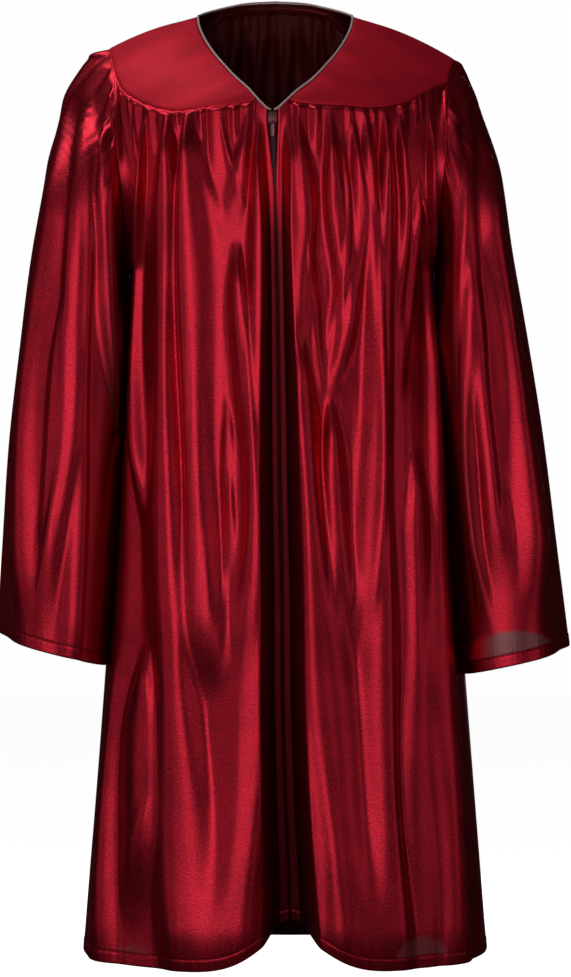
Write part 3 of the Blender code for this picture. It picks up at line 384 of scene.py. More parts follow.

# Painted backlight: where one layer of cloth alone shows against the light above a hem, it is
# painted lighter, over ellipses of x and z
Patch = namedtuple("Patch", "piece x z half_width half_height strength")
PAINTED_BACKLIGHT_PATCHES = [
    Patch("sleeve_right", 184, -507, 40, 21, 0.9),
    Patch("front_right", 111, -742, 24, 20, 0.6),
    Patch("front_left", -114, -744, 18, 14, 0.4),
]
PATCH_SOFTNESS = 0.22
PATCH_STARTS_OVER = 0.0012

# Painted shade: the channel over the zip and the sleeves' inner sides are painted darker, from here
# down
SHADE_FROM = -0.115
SHADE_OVER = 0.09
SHADED_CHANNEL_SHARE = 0.5
SHADED_CHANNEL_OVER = 0.4
SHADED_SLEEVE_SHARE = 0.36

# Zip
TAPE_GAP = 0.0007
TAPE_BELOW_NECK = 0.0015
TAPE_PAST_END = 0.004
SLIDER_TOP = -0.0838
SLIDER_HEIGHT = 0.0092
TAPE_ROWS = 120
TAPE_COLUMNS = 8
TAPE_NEAR_MIDDLE = 0.00025
TAPE_TO_MOUTH_SHARE = 0.57
TAPE_THICKNESS = 0.0005
TOOTH_PITCH = 0.00145
TOOTH_HALF_DEPTH = 0.00042
TOOTH_OUTLINE = [
    (-1.45, .22), (-1.2, .36), (.1, .30), (.42, .16),
    (.42, -.16), (.1, -.30), (-1.2, -.36), (-1.45, -.22),
]
TEETH_FORWARD = 0.0006
TEETH_BELOW_SLIDER = 0.0004
TEETH_ABOVE_STOP = 0.0045
ROUNDED_METAL = 0.00016

# Threads wound round the neck edging, and the herringbone of the zip tape
THREAD_SPACING = 0.00075
THREAD_SLANT = 0.55
HERRINGBONE = 0.0022
TWILL_SPACING = 0.0006

# Studio: the camera looks level along +Y
CAMERA_PLACE = (0.0052, -3.0, -0.3772)
CAMERA_SENSOR = 36
CAMERA_LENS = 138.2
FLOOR_HEIGHT = -0.98
BACKDROP_RADIUS = 8.0
WORLD_COLOUR = (0.010, 0.009, 0.009)


def ease(value):
    """Rises smoothly from 0 to 1 as the value does."""
    value = np.clip(value, 0.0, 1.0)
    return value * value * (3 - 2 * value)


def smooth_curve(at, knots, values):
    """A curve through the values at rising knots, each knot's slope set by its neighbours."""
    knots = np.asarray(knots, float)
    values = np.asarray(values, float)
    slopes = np.gradient(values, knots)
    at = np.clip(at, knots[0], knots[-1])
    cell = np.clip(np.searchsorted(knots, at) - 1, 0, len(knots) - 2)
    width = knots[cell + 1] - knots[cell]
    t = (at - knots[cell]) / width
    start = (1 + 2 * t) * (1 - t) ** 2 * values[cell] + t * (1 - t) ** 2 * width * slopes[cell]
    end = t * t * (3 - 2 * t) * values[cell + 1] + t * t * (t - 1) * width * slopes[cell + 1]
    return start + end


def by_height(rows, column, z):
    """A table's column at the heights z, both in metres."""
    knots = [-row.z * MM for row in rows]
    return smooth_curve(-np.asarray(z, float), knots, [getattr(row, column) * MM for row in rows])


def along(rows, share):
    """Points at shares 0 to 1 of the way along a table's points, by the distance between them."""
    points = np.array([row[-3:] for row in rows], float) * MM
    steps = np.linalg.norm(np.diff(points, axis=0), axis=1)
    knots = np.concatenate(([0.0], np.cumsum(steps))) / steps.sum()
    return np.stack([smooth_curve(share, knots, points[:, axis]) for axis in range(3)], axis=-1)


def to_side(points, side):
    """Turns distances out from the neck's centre into x on one side."""
    placed = np.array(points, float)
    lean = V_POINT_LEAN * ease((LEAN_STARTS - placed[..., 2]) / LEAN_GROWS_OVER)
    lean *= ease((LEAN_ENDS_OUT - placed[..., 0]) / LEAN_FADES_OVER)
    placed[..., 0] = NECK_CENTRE - lean + side * placed[..., 0]
    return placed


def squared_round(angle, squareness):
    """The sine and cosine of a ring that is a little squarer than an ellipse."""
    across = np.sin(angle) * (1 + squareness * np.cos(angle) ** 2)
    ahead = np.cos(angle) * (1 + squareness * np.sin(angle) ** 2)
    return across, ahead


EDGE_RUN = np.linspace(0, 1, 161)
QUARTER = np.linspace(0, pi / 2, 361)
QUARTER_ACROSS, QUARTER_AHEAD = squared_round(QUARTER, BODY_SQUARENESS)
SLEEVE_ACROSS = squared_round(QUARTER, SLEEVE_SQUARENESS)[1]


def body_half_width(z, side):
    return by_height(BODY, SIDE_NAME[side], z)


def angle_at(x, z):
    """The angle round the body, from the front, of the ring's point at x."""
    half = np.where(np.asarray(x) < 0, body_half_width(z, LEFT), body_half_width(z, RIGHT))
    return np.sign(x) * np.interp(np.abs(x) / half, QUARTER_ACROSS, QUARTER)


def angle_for_depth(y, z):
    """The angle from the front, or from the back, of the ring's point at y."""
    depth = np.where(np.asarray(y) < 0, by_height(BODY, "front", z), by_height(BODY, "back", z))
    return np.interp(np.abs(y) / depth, QUARTER_AHEAD[::-1], QUARTER[::-1])


def body_ring(angle, z):
    """Points of the figure round the body, its outward directions, and metres for each radian."""
    across, ahead = squared_round(angle, BODY_SQUARENESS)
    half = np.where(np.sin(angle) < 0, body_half_width(z, LEFT), body_half_width(z, RIGHT))
    depth = np.where(np.cos(angle) > 0, by_height(BODY, "front", z), by_height(BODY, "back", z))
    points = np.stack([half * across, -depth * ahead, z + 0 * angle], axis=-1)
    out = np.stack([np.sin(angle) / half, -np.cos(angle) / depth, 0 * angle], axis=-1)
    out /= np.linalg.norm(out, axis=-1, keepdims=True)
    speed = np.hypot(half * np.cos(angle), depth * np.sin(angle))
    return points, out, speed


def front_angle(x, z):
    return angle_at(x * MM, z)


def back_angle(x, z):
    return pi - angle_at(x * MM, z)


def sleeve_angle(degrees, z):
    return np.radians(degrees)


def sleeve_angle_at(out, z, side):
    """The angle round a sleeve's front, from its outer side, of a distance out from the middle."""
    outer = by_height(SLEEVE_REACH[side], "out", z)
    inner = body_half_width(z, side)
    share = (out - (outer + inner) / 2) / ((outer - inner) / 2)
    turned = np.interp(np.clip(np.abs(share), 0, 1), SLEEVE_ACROSS[::-1], QUARTER[::-1])
    return np.where(share > 0, turned, pi - turned)


def slow_wave(wave, z, number):
    return wave.size * np.sin(wave.turns * z + wave.step * number)


def fold_heights(folds, z, angle, speed, centre_angle):
    """How far the folds stand out at each point.

    Each is a bell with a flattened top across its crest, exp(-|across| ^ squareness), leaning to
    one side, and its width, height and lean wander slowly on the way down. Where two meet they
    merge as the root of their summed squares.
    """
    total = np.zeros(np.broadcast(z, angle).shape)
    for number, fold in enumerate(folds):
        top, foot = fold.top * MM, fold.foot * MM
        share = (top - z) / (top - foot)
        centre = centre_angle(smooth_curve(share, np.linspace(0, 1, 4), fold[2:6]), z)
        flare = 1 + FOLD_FLARE * ease((FLARE_STARTS - z) / FLARE_OVER)
        wander = 1 + slow_wave(WIDTH_WAVE, z, number)
        widened = FOLD_START_WIDTH + (1 - FOLD_START_WIDTH) * ease((top - z) / FOLD_WIDENS_OVER)
        spread = FOLD_FULLNESS + FOLD_SPREAD * ease((SPREAD_STARTS - z) / SPREAD_OVER)
        half_width = fold.half_width * MM * flare * wander * widened * spread
        across = (angle - centre) * speed / half_width
        across = across * (1 + slow_wave(LEAN_WAVE, z, number) * np.tanh(across))
        present = ease((top - z) / FOLD_STARTS_OVER) * ease((z - foot) / FOLD_ENDS_OVER)
        crest = fold.height * MM * flare * present * (1 + slow_wave(HEIGHT_WAVE, z, number))
        total += (crest * np.exp(-np.abs(across) ** FOLD_SQUARENESS)) ** 2
    return np.sqrt(total)


def scattered(numbers, seed):
    """A number from 0 to 1 for each whole number, in no order but always the same."""
    return np.modf(np.abs(np.sin(numbers * SCATTER_TURNS + seed)) * SCATTER_REACH)[0]


def gathers(share, count, below, seed):
    """Small uneven pleats below a seam, over shares 0 to 1 along it.

    Each is the size of a sine, so its crest is rounded and its valleys are sharp, and each has a
    height and a length of its own.
    """
    drifts = (row.size * np.sin(row.turns * pi * share + row.phase) for row in GATHER_DRIFTS)
    uneven = share + sum(drifts)
    turns = count * uneven
    wave = np.abs(np.sin(pi * turns))
    wave = GATHER_ROUNDNESS * wave ** 2 + (1 - GATHER_ROUNDNESS) * wave
    number = np.floor(turns)
    size = SMALLEST_GATHER + (1 - SMALLEST_GATHER) * scattered(number, seed)
    depth = GATHER_DEPTH * (SHORTEST_GATHER + scattered(number, seed + 5))
    inside = (share > 0) & (share < 1)
    present = ease(below / GATHER_STARTS_OVER) * (1 - ease(below / depth))
    return GATHER_HEIGHT * wave * size * inside * present


def ripples(run, z, seed):
    """Two sets of faint upright waves that drift sideways on the way down and come and go."""
    drift = sum(row.size * np.sin(row.turns * z + row.phase * seed) for row in RIPPLE_DRIFTS)
    turned = 2 * pi * run / RIPPLE_LENGTH
    first = np.sin(turned + drift)
    second = np.sin(turned / SECOND_RIPPLE_LENGTH - SECOND_RIPPLE_DRIFT * drift + seed)
    strength = 0.5 + 0.5 * np.sin(RIPPLES_CHANGE_ACROSS * run + RIPPLES_CHANGE_DOWN * z + seed)
    return RIPPLE_HEIGHT * (first + SECOND_RIPPLE_HEIGHT * second) * strength


def hem_relief(above, run):
    """How a turned hem stands out: double cloth below a row of stitches that draw it in."""
    double = HEM_DOUBLE * ease((HEM_DEPTH - above) / HEM_STEP)
    groove = STITCH_GROOVE * np.exp(-((above - HEM_DEPTH) / STITCH_GROOVE_WIDTH) ** 2)
    near = np.exp(-((above - HEM_DEPTH) / PUCKER_REACH) ** 2)
    turned = 2 * pi * run / PUCKER_LENGTH + 2 * np.sin(PUCKER_DRIFT * run)
    pucker = PUCKER_HEIGHT * np.sin(turned) * near
    rolled = HEM_ROLL * ease((HEM_STEP - above) / HEM_STEP)
    return double - groove + pucker - rolled


def armhole_point(degrees, side):
    """A point of the armhole, measured round from the shoulder tip to the front."""
    knots = [row.around for row in ARMHOLE]
    out, y, z = (smooth_curve(degrees, knots, [row[i] * MM for row in ARMHOLE]) for i in (1, 2, 3))
    if side == RIGHT:
        z = z - RIGHT_TIP_DROP * (0.5 + 0.5 * np.cos(np.radians(degrees))) ** 3
    return np.stack([side * (body_half_width(z, side) + out), y, z], axis=-1)


def panel_side(z, side, behind):
    """The side edge of a front or back at each height: the armhole, then the side seam."""
    around = np.linspace(360, 180, 121) if behind else np.linspace(0, 180, 121)
    edge = armhole_point(around, side)
    found = np.interp(-z, -edge[:, 2], around)
    point = armhole_point(found, side)
    low = z < UNDERARM
    point[..., 0] = np.where(low, side * body_half_width(z, side), point[..., 0])
    point[..., 1] = np.where(low, 0.0, point[..., 1])
    point[..., 2] = z
    return point


def panel_figure(side, start, share, z, behind):
    """Points of the figure between an angle and a panel's side edge, before its folds."""
    edge = panel_side(z, side, behind)
    from_middle = angle_for_depth(edge[..., 1], z)
    turning = ease((COLUMNS_TURN_FROM - z) / COLUMNS_TURN_OVER)
    gentle = COLUMNS_AT_TOP + (pi / 2 - COLUMNS_AT_TOP) * turning
    last = side * ((pi - from_middle) if behind else from_middle)
    soft = side * ((pi - gentle) if behind else gentle)
    near_edge = share ** EDGE_FOLLOWED_POWER
    angle = start + (soft - start) * share + (last - soft) * near_edge
    points, out, speed = body_ring(angle, z)
    reach = edge - body_ring(last, z)[0]
    points += reach * (share ** 2)[..., None]
    return points, out, speed, angle


def free_of_edge(share, z):
    """Folds die away where a panel is sewn into its armhole, and lie flat beside the sleeve."""
    sewn = ease((z - UNDERARM + SEWN_FADES_OVER) / SEWN_FADES_OVER)
    return 1 - sewn * (1 - ease((1 - share) / SEWN_EDGE_SHARE))


def flat_beside_sleeve(angle):
    return 1 - FLAT_BY * ease((np.abs(np.sin(angle)) - FLAT_FROM_SINE) / FLAT_OVER_SINE)


def below_seam(curve):
    """Moves a seam's points down by its gap, square to it in the plane that faces the viewer."""
    run = np.gradient(curve, axis=-2)
    flat = np.hypot(run[..., 0], run[..., 2])
    square = np.stack([run[..., 2] / flat, 0 * flat, -run[..., 0] / flat], axis=-1)
    square *= np.where(square[..., 2] > 0, -1, 1)[..., None]
    return curve + square * SEAM_GAP


def edge_points(edge, share):
    """Points at shares of the way along an edge that is kept as a row of points."""
    return np.stack([np.interp(share, EDGE_RUN, edge[:, axis]) for axis in range(3)], axis=-1)


def joined(parts, shares, share, side):
    """Follows several curves one after another; the shares say where each one ends."""
    starts = [0.0, *shares[:-1]]
    result = np.zeros((*np.shape(share), 3))
    for part, start, end in zip(parts, starts, shares):
        here = share >= start
        result[here] = part(np.clip((share - start) / (end - start), 0, 1), side)[here]
    return result


def neckline(share, side):
    return to_side(along(NECKLINE, share), side)


def front_seam(share, side):
    """The yoke's front seam, from beside the zip to the armhole."""
    corner = armhole_point(YOKE_CORNER_FRONT, side) / MM
    rows = [*YOKE_FRONT_SEAM, Point((corner[0] - NECK_CENTRE / MM) * side, corner[1], corner[2])]
    points = along(rows, share)
    if side == LEFT:
        from_dip = (points[..., 0] - LEFT_SEAM_DIP_AT) / LEFT_SEAM_DIP_HALF_WIDTH
        points[..., 2] -= LEFT_SEAM_DIP * np.exp(-from_dip ** 2)
    return to_side(points, side)


def band_top(share, side):
    """The neckline from the nape to where the yoke begins."""
    return neckline(1 + (NECKLINE_AT_BACK_BAND - 1) * share, side)


def band_foot(share, side):
    return band_top(share, side) + np.array([0, NECK_BAND_SLANT, -NECK_BAND_HEIGHT])


def back_seam(share, side):
    """The yoke's back seam, from the armhole up to the back neck band."""
    corner = armhole_point(YOKE_CORNER_BACK, side) / MM
    end = band_foot(np.array(1.0), side) / MM
    first = Point((corner[0] - NECK_CENTRE / MM) * side, corner[1], corner[2])
    last = Point((end[0] - NECK_CENTRE / MM) * side, end[1], end[2])
    return to_side(along([first, *YOKE_BACK_SEAM, last], share), side)


def seam_from_band(share, side):
    return back_seam(1 - share, side)


def arm_edge(share, side):
    """The yoke's edge in the armhole, from its front corner over the shoulder to its back one."""
    return armhole_point(YOKE_CORNER_FRONT * (1 - 2 * share) % 360, side)


def yoke_outer_edge(share, side):
    return joined((front_seam, arm_edge, back_seam), YOKE_SHARES, share, side)


def yoke_surface(side, across, run):
    """The yoke, across from the neckline and along from the front end to the back end."""
    neck_run = NECKLINE_AT_YOKE_FRONT + (NECKLINE_AT_BACK_BAND - NECKLINE_AT_YOKE_FRONT) * run
    neck = neckline(neck_run, side)
    edge = yoke_outer_edge(run, side)
    turn = YOKE_FACING * (1 - 2 * ease((run - YOKE_TURNS_FROM) / (1 - YOKE_TURNS_FROM)))
    up = np.stack([0 * turn, -np.sin(turn), np.cos(turn)], axis=-1)
    width = np.linalg.norm(edge - neck, axis=-1)
    bulge = YOKE_BULGE * width * 4 * across * (1 - across)
    return neck * (1 - across[..., None]) + edge * across[..., None] + up * bulge[..., None]


def zip_edge(z):
    """Distance from the zip's middle line to the edge of each front."""
    closed = ease((NECKLINE[0].z * MM - z) / EDGE_CLOSES_OVER)
    return np.where(z > ZIP_END, EDGE_AT_NECK + (EDGE_AT_ZIP - EDGE_AT_NECK) * closed, 0.0)


def front_figure(side, share, z):
    """Front points before folds, from the channel floor to the side edge."""
    axis = by_height(CHANNEL, "axis", z)
    mouth = by_height(CHANNEL, "mouth", z)
    edge = zip_edge(z)
    in_channel = np.clip(share / CHANNEL_SHARE, 0, 1)
    start = angle_at(axis + side * (edge + (mouth - edge) * in_channel), z)
    beyond = np.clip((share - CHANNEL_SHARE) / (1 - CHANNEL_SHARE), 0, 1)
    points, out, speed, angle = panel_figure(side, start, beyond, z, False)
    rise = channel_rise(np.abs(points[..., 0] - axis), mouth)
    points[..., 1] += (by_height(BODY, "front", z) - by_height(CHANNEL, "floor", z)) * (1 - rise)
    return points, out, speed, angle, rise


def channel_rise(from_axis, mouth):
    """0 on the channel's floor, rising to 1 at its mouth."""
    return ease((from_axis / mouth - CHANNEL_FLOOR_SHARE) / (1 - CHANNEL_FLOOR_SHARE))


def neck_above_zip(share, side):
    return neckline(NECKLINE_AT_YOKE_FRONT * SHORT_OF_YOKE * share, side)


def front_top(share, side):
    """The top edge of a front: along the neck, then along the yoke's seam to the armhole."""
    edge = joined((neck_above_zip, front_seam), (CHANNEL_SHARE, 1.0), EDGE_RUN, side)
    above_zip = (EDGE_RUN < CHANNEL_SHARE * SHORT_OF_YOKE)[:, None]
    return edge_points(np.where(above_zip, edge, below_seam(edge)), share)


def hem_height(angle, x, middle):
    front = np.clip(np.cos(angle), 0, 1)
    back = np.clip(-np.cos(angle), 0, 1)
    height = HEM_SIDE + (HEM_FRONT - HEM_SIDE) * front + (HEM_BACK - HEM_SIDE) * back
    arch = HEM_ARCH * np.exp(-((x - middle) / HEM_ARCH_HALF_WIDTH) ** 2)
    return height + arch * (np.cos(angle) > 0)


def back_top(share, side):
    """The top edge of the back: the neck band, then the yoke's seam to the armhole."""
    edge = joined((band_foot, seam_from_band), (BACK_BAND_SHARE, 1.0), EDGE_RUN, side)
    return edge_points(below_seam(edge), share)


def sleeve_ring(side, angle, z):
    """Points of a sleeve's figure, from its outer side round by the front."""
    outer = by_height(SLEEVE_REACH[side], "out", z)
    inner = body_half_width(z, side) - SLEEVE_WRAP * ease((UNDERARM - z) / SLEEVE_WRAPS_OVER)
    middle, half = (outer + inner) / 2, (outer - inner) / 2
    depth = np.where(
        np.sin(angle) > 0, by_height(SLEEVE_DEPTH, "front", z), by_height(SLEEVE_DEPTH, "back", z)
    )
    ahead, across = squared_round(angle, SLEEVE_SQUARENESS)
    points = np.stack([side * (middle + half * across), -depth * ahead, z + 0 * angle], axis=-1)
    out = np.stack([side * np.cos(angle) / half, -np.sin(angle) / depth, 0 * angle], axis=-1)
    out /= np.linalg.norm(out, axis=-1, keepdims=True)
    speed = np.hypot(half * np.sin(angle), depth * np.cos(angle))
    return points, out, speed


def cuff_height(side, angle):
    end = CUFF[side]
    behind = (0.5 - 0.5 * np.sin(angle)) ** 2
    return (end.height + end.outer_lift * np.cos(angle) + end.back_lift * behind) * MM


def clear_of_body(points, side):
    """Below the underarm, presses a sleeve's inner side out until it rests against the body."""
    x, y, z = points[..., 0] * side, points[..., 1], points[..., 2]
    angle = angle_for_depth(y, z)
    body = body_half_width(z, side) * squared_round(angle, BODY_SQUARENESS)[0]
    room = FOLD_ROOM * ease((np.abs(y) - ROOM_STARTS) / ROOM_GROWS_OVER)
    nearest = body + SLEEVE_CLEARANCE + room
    pressed = nearest + PRESS_SOFTNESS * np.logaddexp(0, (x - nearest) / PRESS_SOFTNESS)
    amount = ease((UNDERARM - z) / PRESS_STARTS_OVER)
    pushed = points.copy()
    pushed[..., 0] = side * (x + (pressed - x) * amount)
    return pushed


def grid_normals(points):
    """Directions square to a surface, from its neighbouring points."""
    down = np.gradient(points, axis=0)
    over = np.gradient(points, axis=1)
    normals = np.cross(over, down)
    return normals / np.linalg.norm(normals, axis=-1, keepdims=True)


def heights_down(top, hem, rows):
    """Heights of a piece's rows: set distances under its seam and above its hem, even between."""
    first = top - UNDER_SEAM[:, None]
    last = hem + ABOVE_HEM[:, None]
    share = np.linspace(0, 1, rows + 2)[1:-1, None]
    return np.concatenate((first, first[-1] + (last[0] - first[-1]) * share, last))


def tucked(points, up, inward):
    """Adds rows above a piece's seam, where its edge runs on behind the piece above it."""
    rows = [points[0] + up * rise + inward * depth for rise, depth in TUCK_STEPS[::-1]]
    return np.concatenate((np.stack(rows), points))


def seam_dip(below):
    return SEAM_DIP * (1 - ease(below / SEAM_DIP_OVER))


def cloth_map(run, above):
    """Metres across and above the hem, for the patterns on the cloth."""
    extra = np.repeat(above[:1], len(TUCK_STEPS), axis=0) + TUCK_ON_MAP
    above = np.concatenate((extra, above))
    return np.stack([np.broadcast_to(run, above.shape), above], axis=-1)


def painted_backlight(name, points, above):
    """How strongly each point is painted lighter, as painted backlight where one layer of cloth
    shows against the light above its hem.
    """
    x, z = points[..., 0] / MM, points[..., 2] / MM
    total = np.zeros(x.shape)
    for patch in PAINTED_BACKLIGHT_PATCHES:
        if patch.piece != name:
            continue
        out = np.hypot((x - patch.x) / patch.half_width, (z - patch.z) / patch.half_height)
        total += patch.strength * ease((1 - out) / PATCH_SOFTNESS)
    return total * (points[..., 1] < 0) * ease((above - HEM_DEPTH) / PATCH_STARTS_OVER)


def painted_channel_shade(points):
    """How strongly each point of a front is painted darker, as painted shade in the channel, from 0
    to 1.
    """
    share = front_shares() / CHANNEL_SHARE
    into = 1 - ease((share - SHADED_CHANNEL_SHARE) / SHADED_CHANNEL_OVER)
    return into * ease((SHADE_FROM - points[..., 2]) / SHADE_OVER)


def painted_sleeve_shade(points, side):
    """How strongly each point of a sleeve is painted darker, as painted shade between sleeve and
    trunk, from 0 to 1.
    """
    x, z = points[..., 0] * side, points[..., 2]
    inner = body_half_width(z, side)
    share = (x - inner) / (by_height(SLEEVE_REACH[side], "out", z) - inner)
    return (1 - ease(share / SHADED_SLEEVE_SHARE)) * ease((SHADE_FROM - z) / SHADE_OVER)


def front_shares():
    channel = np.linspace(0, CHANNEL_SHARE, CHANNEL_COLUMNS + 1)
    panel = np.linspace(CHANNEL_SHARE, 1, FRONT_COLUMNS + 1)[1:]
    return np.concatenate((channel, panel))


def front_cloth(side, fold_depth):
    """A front's points and cloth map: the figure, drawn to its seam, plus folds and gathers."""
    shares = front_shares()
    top = front_top(shares, side)
    foot_points, _, _, foot_angle, _ = front_figure(side, shares, np.full(shares.shape, HEM_FRONT))
    hem = hem_height(foot_angle, foot_points[..., 0], by_height(CHANNEL, "axis", HEM_FRONT))
    z = heights_down(top[:, 2], hem, FRONT_ROWS)
    share = np.broadcast_to(shares, z.shape)
    top_z = np.broadcast_to(top[:, 2], z.shape)
    points, out, speed, angle, rise = front_figure(side, share, z)
    anchor = front_figure(side, share, top_z)[0]
    below = top_z - z
    points += (top - anchor) * (1 - ease(below / FRONT_FADE))[..., None]
    creases = LEFT_CREASES if side == LEFT else RIGHT_CREASES
    placed = angle_at(points[..., 0], z)
    height = fold_heights([*FRONT_FOLDS, *creases], z, placed, speed, front_angle)
    height *= ease(below / FOLD_RISES_FROM_SEAM)
    gathered = (share - FRONT_GATHERS_FROM) / (FRONT_GATHERS_TO - FRONT_GATHERS_FROM)
    height += gathers(gathered, FRONT_GATHERS, below, FRONT_SEED.gathers + side)
    height += ripples(angle * speed, z, FRONT_SEED.ripples + side)
    height *= fold_depth * rise * free_of_edge(share, z) * flat_beside_sleeve(angle)
    from_edge = np.abs(points[..., 0] - by_height(CHANNEL, "axis", z)) - zip_edge(z)
    height -= EDGE_ROLL * np.exp(-(from_edge / EDGE_ROLL_OVER) ** 2) * (share < CHANNEL_SHARE)
    seam = ease((shares / CHANNEL_SHARE - TUCK_STARTS) / (1 - TUCK_STARTS))
    height -= seam_dip(below) * seam
    run = shares * row_length(points)
    height += hem_relief(z - hem, run)
    up = seam[:, None] * np.array([0, 0, 1.0])
    inward = -out[0] * (TUCK_AT_ZIP + (1 - TUCK_AT_ZIP) * seam)[:, None]
    return tucked(points + out * height[..., None], up, inward), cloth_map(run, z - hem)


def row_length(points):
    """The mean length of a piece's rows."""
    return np.linalg.norm(np.diff(points[..., :2], axis=1), axis=-1).sum(axis=1).mean()


def back_cloth(fold_depth):
    """The back's points and cloth map, across from the left side edge to the right one."""
    across = np.linspace(-1, 1, BACK_COLUMNS + 1)
    halves, maps = [], []
    for side in (LEFT, RIGHT):
        shares = np.clip(side * across, 0, 1)
        top = back_top(shares, side)
        last = panel_figure(side, side * pi, shares, np.full(shares.shape, HEM_BACK), True)[3]
        hem = hem_height(last, np.full(shares.shape, 1.0), 0.0)
        z = heights_down(top[:, 2], hem, BACK_ROWS)
        share = np.broadcast_to(shares, z.shape)
        top_z = np.broadcast_to(top[:, 2], z.shape)
        points, out, speed, angle = panel_figure(side, side * pi, share, z, True)
        anchor = panel_figure(side, side * pi, share, top_z, True)[0]
        below = top_z - z
        points += (top - anchor) * (1 - ease(below / BACK_FADE))[..., None]
        turned = pi - angle_at(points[..., 0], z)
        height = fold_heights([*BACK_FOLDS, *BACK_CREASES], z, turned, speed, back_angle)
        height *= ease(below / FOLD_RISES_FROM_SEAM)
        gathered = np.broadcast_to(0.5 + across / (2 * BACK_GATHERS_TO), z.shape)
        height += gathers(gathered, BACK_GATHERS, below, BACK_SEED.gathers)
        height += ripples(turned * speed, z, BACK_SEED.ripples)
        height *= fold_depth * free_of_edge(share, z) * flat_beside_sleeve(angle)
        height -= seam_dip(below)
        run = across * row_length(points)
        height += hem_relief(z - hem, run)
        up = np.broadcast_to(np.array([0, 0, 1.0]), top.shape)
        halves.append(tucked(points + out * height[..., None], up, -out[0]))
        maps.append(cloth_map(run, z - hem))
    left_half = (across < 0)[None, :, None]
    return np.where(left_half, *halves), np.where(left_half, *maps)


def sleeve_cloth(side, fold_depth):
    """A sleeve's points and cloth map, from its outer side round by the front."""
    around = np.linspace(0, 360, SLEEVE_COLUMNS + 1)
    angles = np.radians(around)
    top = armhole_point(around % 360, side) + np.array([side * ARMHOLE_GAP, 0, 0])
    hem = cuff_height(side, angles)
    z = heights_down(top[:, 2], hem, SLEEVE_ROWS)
    angle = np.broadcast_to(angles, z.shape)
    points, out, speed = sleeve_ring(side, angle, z)
    anchor = sleeve_ring(side, angle, np.broadcast_to(top[:, 2], z.shape))[0]
    below = top[:, 2] - z
    points += (top - anchor) * (1 - ease(below / SLEEVE_FADE))[..., None]
    signed = (angle + pi) % (2 * pi) - pi
    in_front = ease((np.sin(signed) - SLEEVE_FRONT_FROM_SINE) / SLEEVE_FRONT_OVER_SINE)
    placed = sleeve_angle_at(points[..., 0] * side, z, side)
    placed = signed + (placed - signed) * in_front
    folds = np.hypot(
        fold_heights(SLEEVE_BACK_FOLDS[side], z, signed, speed, sleeve_angle),
        fold_heights(
            SLEEVE_FRONT_FOLDS[side], z, placed, speed,
            lambda out, z: sleeve_angle_at(out * MM, z, side),
        ),
    )
    beside_body = ease((np.cos(signed) + 1) / INNER_SIDE_COSINE)
    height = folds * ease(below / FOLD_RISES_FROM_SEAM) * beside_body
    reach = radians(SLEEVE_GATHERS_REACH)
    gathered = (signed + reach) / (2 * reach)
    height += gathers(gathered, SLEEVE_GATHERS, below, SLEEVE_SEED.gathers + side)
    rippled = ripples(signed * speed, z, SLEEVE_SEED.ripples + side)
    height += rippled * beside_body * np.cos(signed / 2) ** 2
    height = fold_depth * height - seam_dip(below) * beside_body
    run = angles / (2 * pi) * row_length(points)
    height += hem_relief(z - hem, run)
    moved = clear_of_body(points + out * height[..., None], side)
    up = np.broadcast_to(np.array([-side, 0, SLEEVE_TUCK_RISE]), top.shape)
    return tucked(moved, up, -out[0]), cloth_map(run, z - hem)


def yoke_cloth(side):
    """A yoke's points and cloth map, with its edge rolled under along the seams."""
    across, run = np.meshgrid(
        np.linspace(0, 1, YOKE_ROWS + 1) ** 0.9, np.linspace(0, 1, YOKE_COLUMNS + 1), indexing="ij"
    )
    points = yoke_surface(side, across, run)
    normals = grid_normals(points) * -side
    width = np.linalg.norm(points[-1] - points[0], axis=-1)
    from_edge = (1 - across) * width
    length = np.linalg.norm(np.diff(points, axis=1), axis=-1).sum(axis=1).mean()
    wave = np.sin(YOKE_WAVE_ALONG * run * length + YOKE_WAVE_ACROSS * from_edge)
    wave = wave * np.sin(YOKE_SWELL_ALONG * run * length + YOKE_SWELL_PHASE)
    inside = ease(from_edge / YOKE_WAVE_FROM) * ease(across * width / YOKE_WAVE_FROM)
    soft = YOKE_WAVE * wave * inside
    rolled = YOKE_ROLL * (1 - ease(from_edge / YOKE_ROLL_OVER))
    points = points + normals * (soft - rolled)[..., None]
    return points, np.stack([run * length, from_edge], axis=-1)


def band_cloth():
    """The back neck band, from its foot to the neckline, a little full between its edges."""
    run = np.linspace(-1, 1, 121)
    up = np.linspace(0, 1, 9)[:, None, None]
    edges = [
        np.where(run[:, None] < 0, edge(np.abs(run), LEFT), edge(np.abs(run), RIGHT))
        for edge in (band_foot, band_top)
    ]
    points = edges[0] * (1 - up) + edges[1] * up
    out = np.stack([np.sin(run), np.cos(run), 0 * run], axis=-1)
    points = points + out * (BAND_FULLNESS * np.sin(pi * up) + BAND_STANDS_OUT)
    points[0, :, 2] -= BAND_STANDS_OUT
    length = np.linalg.norm(np.diff(edges[1], axis=0), axis=-1).sum()
    across = np.broadcast_to((run + 1) / 2 * length, points.shape[:2])
    above = np.broadcast_to(up[..., 0] * NECK_BAND_HEIGHT, points.shape[:2])
    return points, np.stack([across, above], axis=-1)


def edging_path():
    """The neckline, a roll's radius above the edges of the cloth, leaning into the neck."""
    share = np.linspace(0, 1, 131)
    leaning = np.sin(pi * np.clip(share / EDGING_LEANS_UNTIL, 0, 1))
    halves = []
    for side in (LEFT, RIGHT):
        inward = np.stack([-side * leaning, 0 * share, 0 * share + EDGING_RISE], axis=-1)
        inward /= np.linalg.norm(inward, axis=-1, keepdims=True)
        half = neckline(share, side) + inward * EDGING_OFF_CLOTH
        turn_in = half[0] + np.array(EDGING_TURNS_IN) * [-side * MM, MM, MM]
        halves.append(np.concatenate((turn_in, half)))
    return np.concatenate((halves[0], halves[1][-2::-1]))


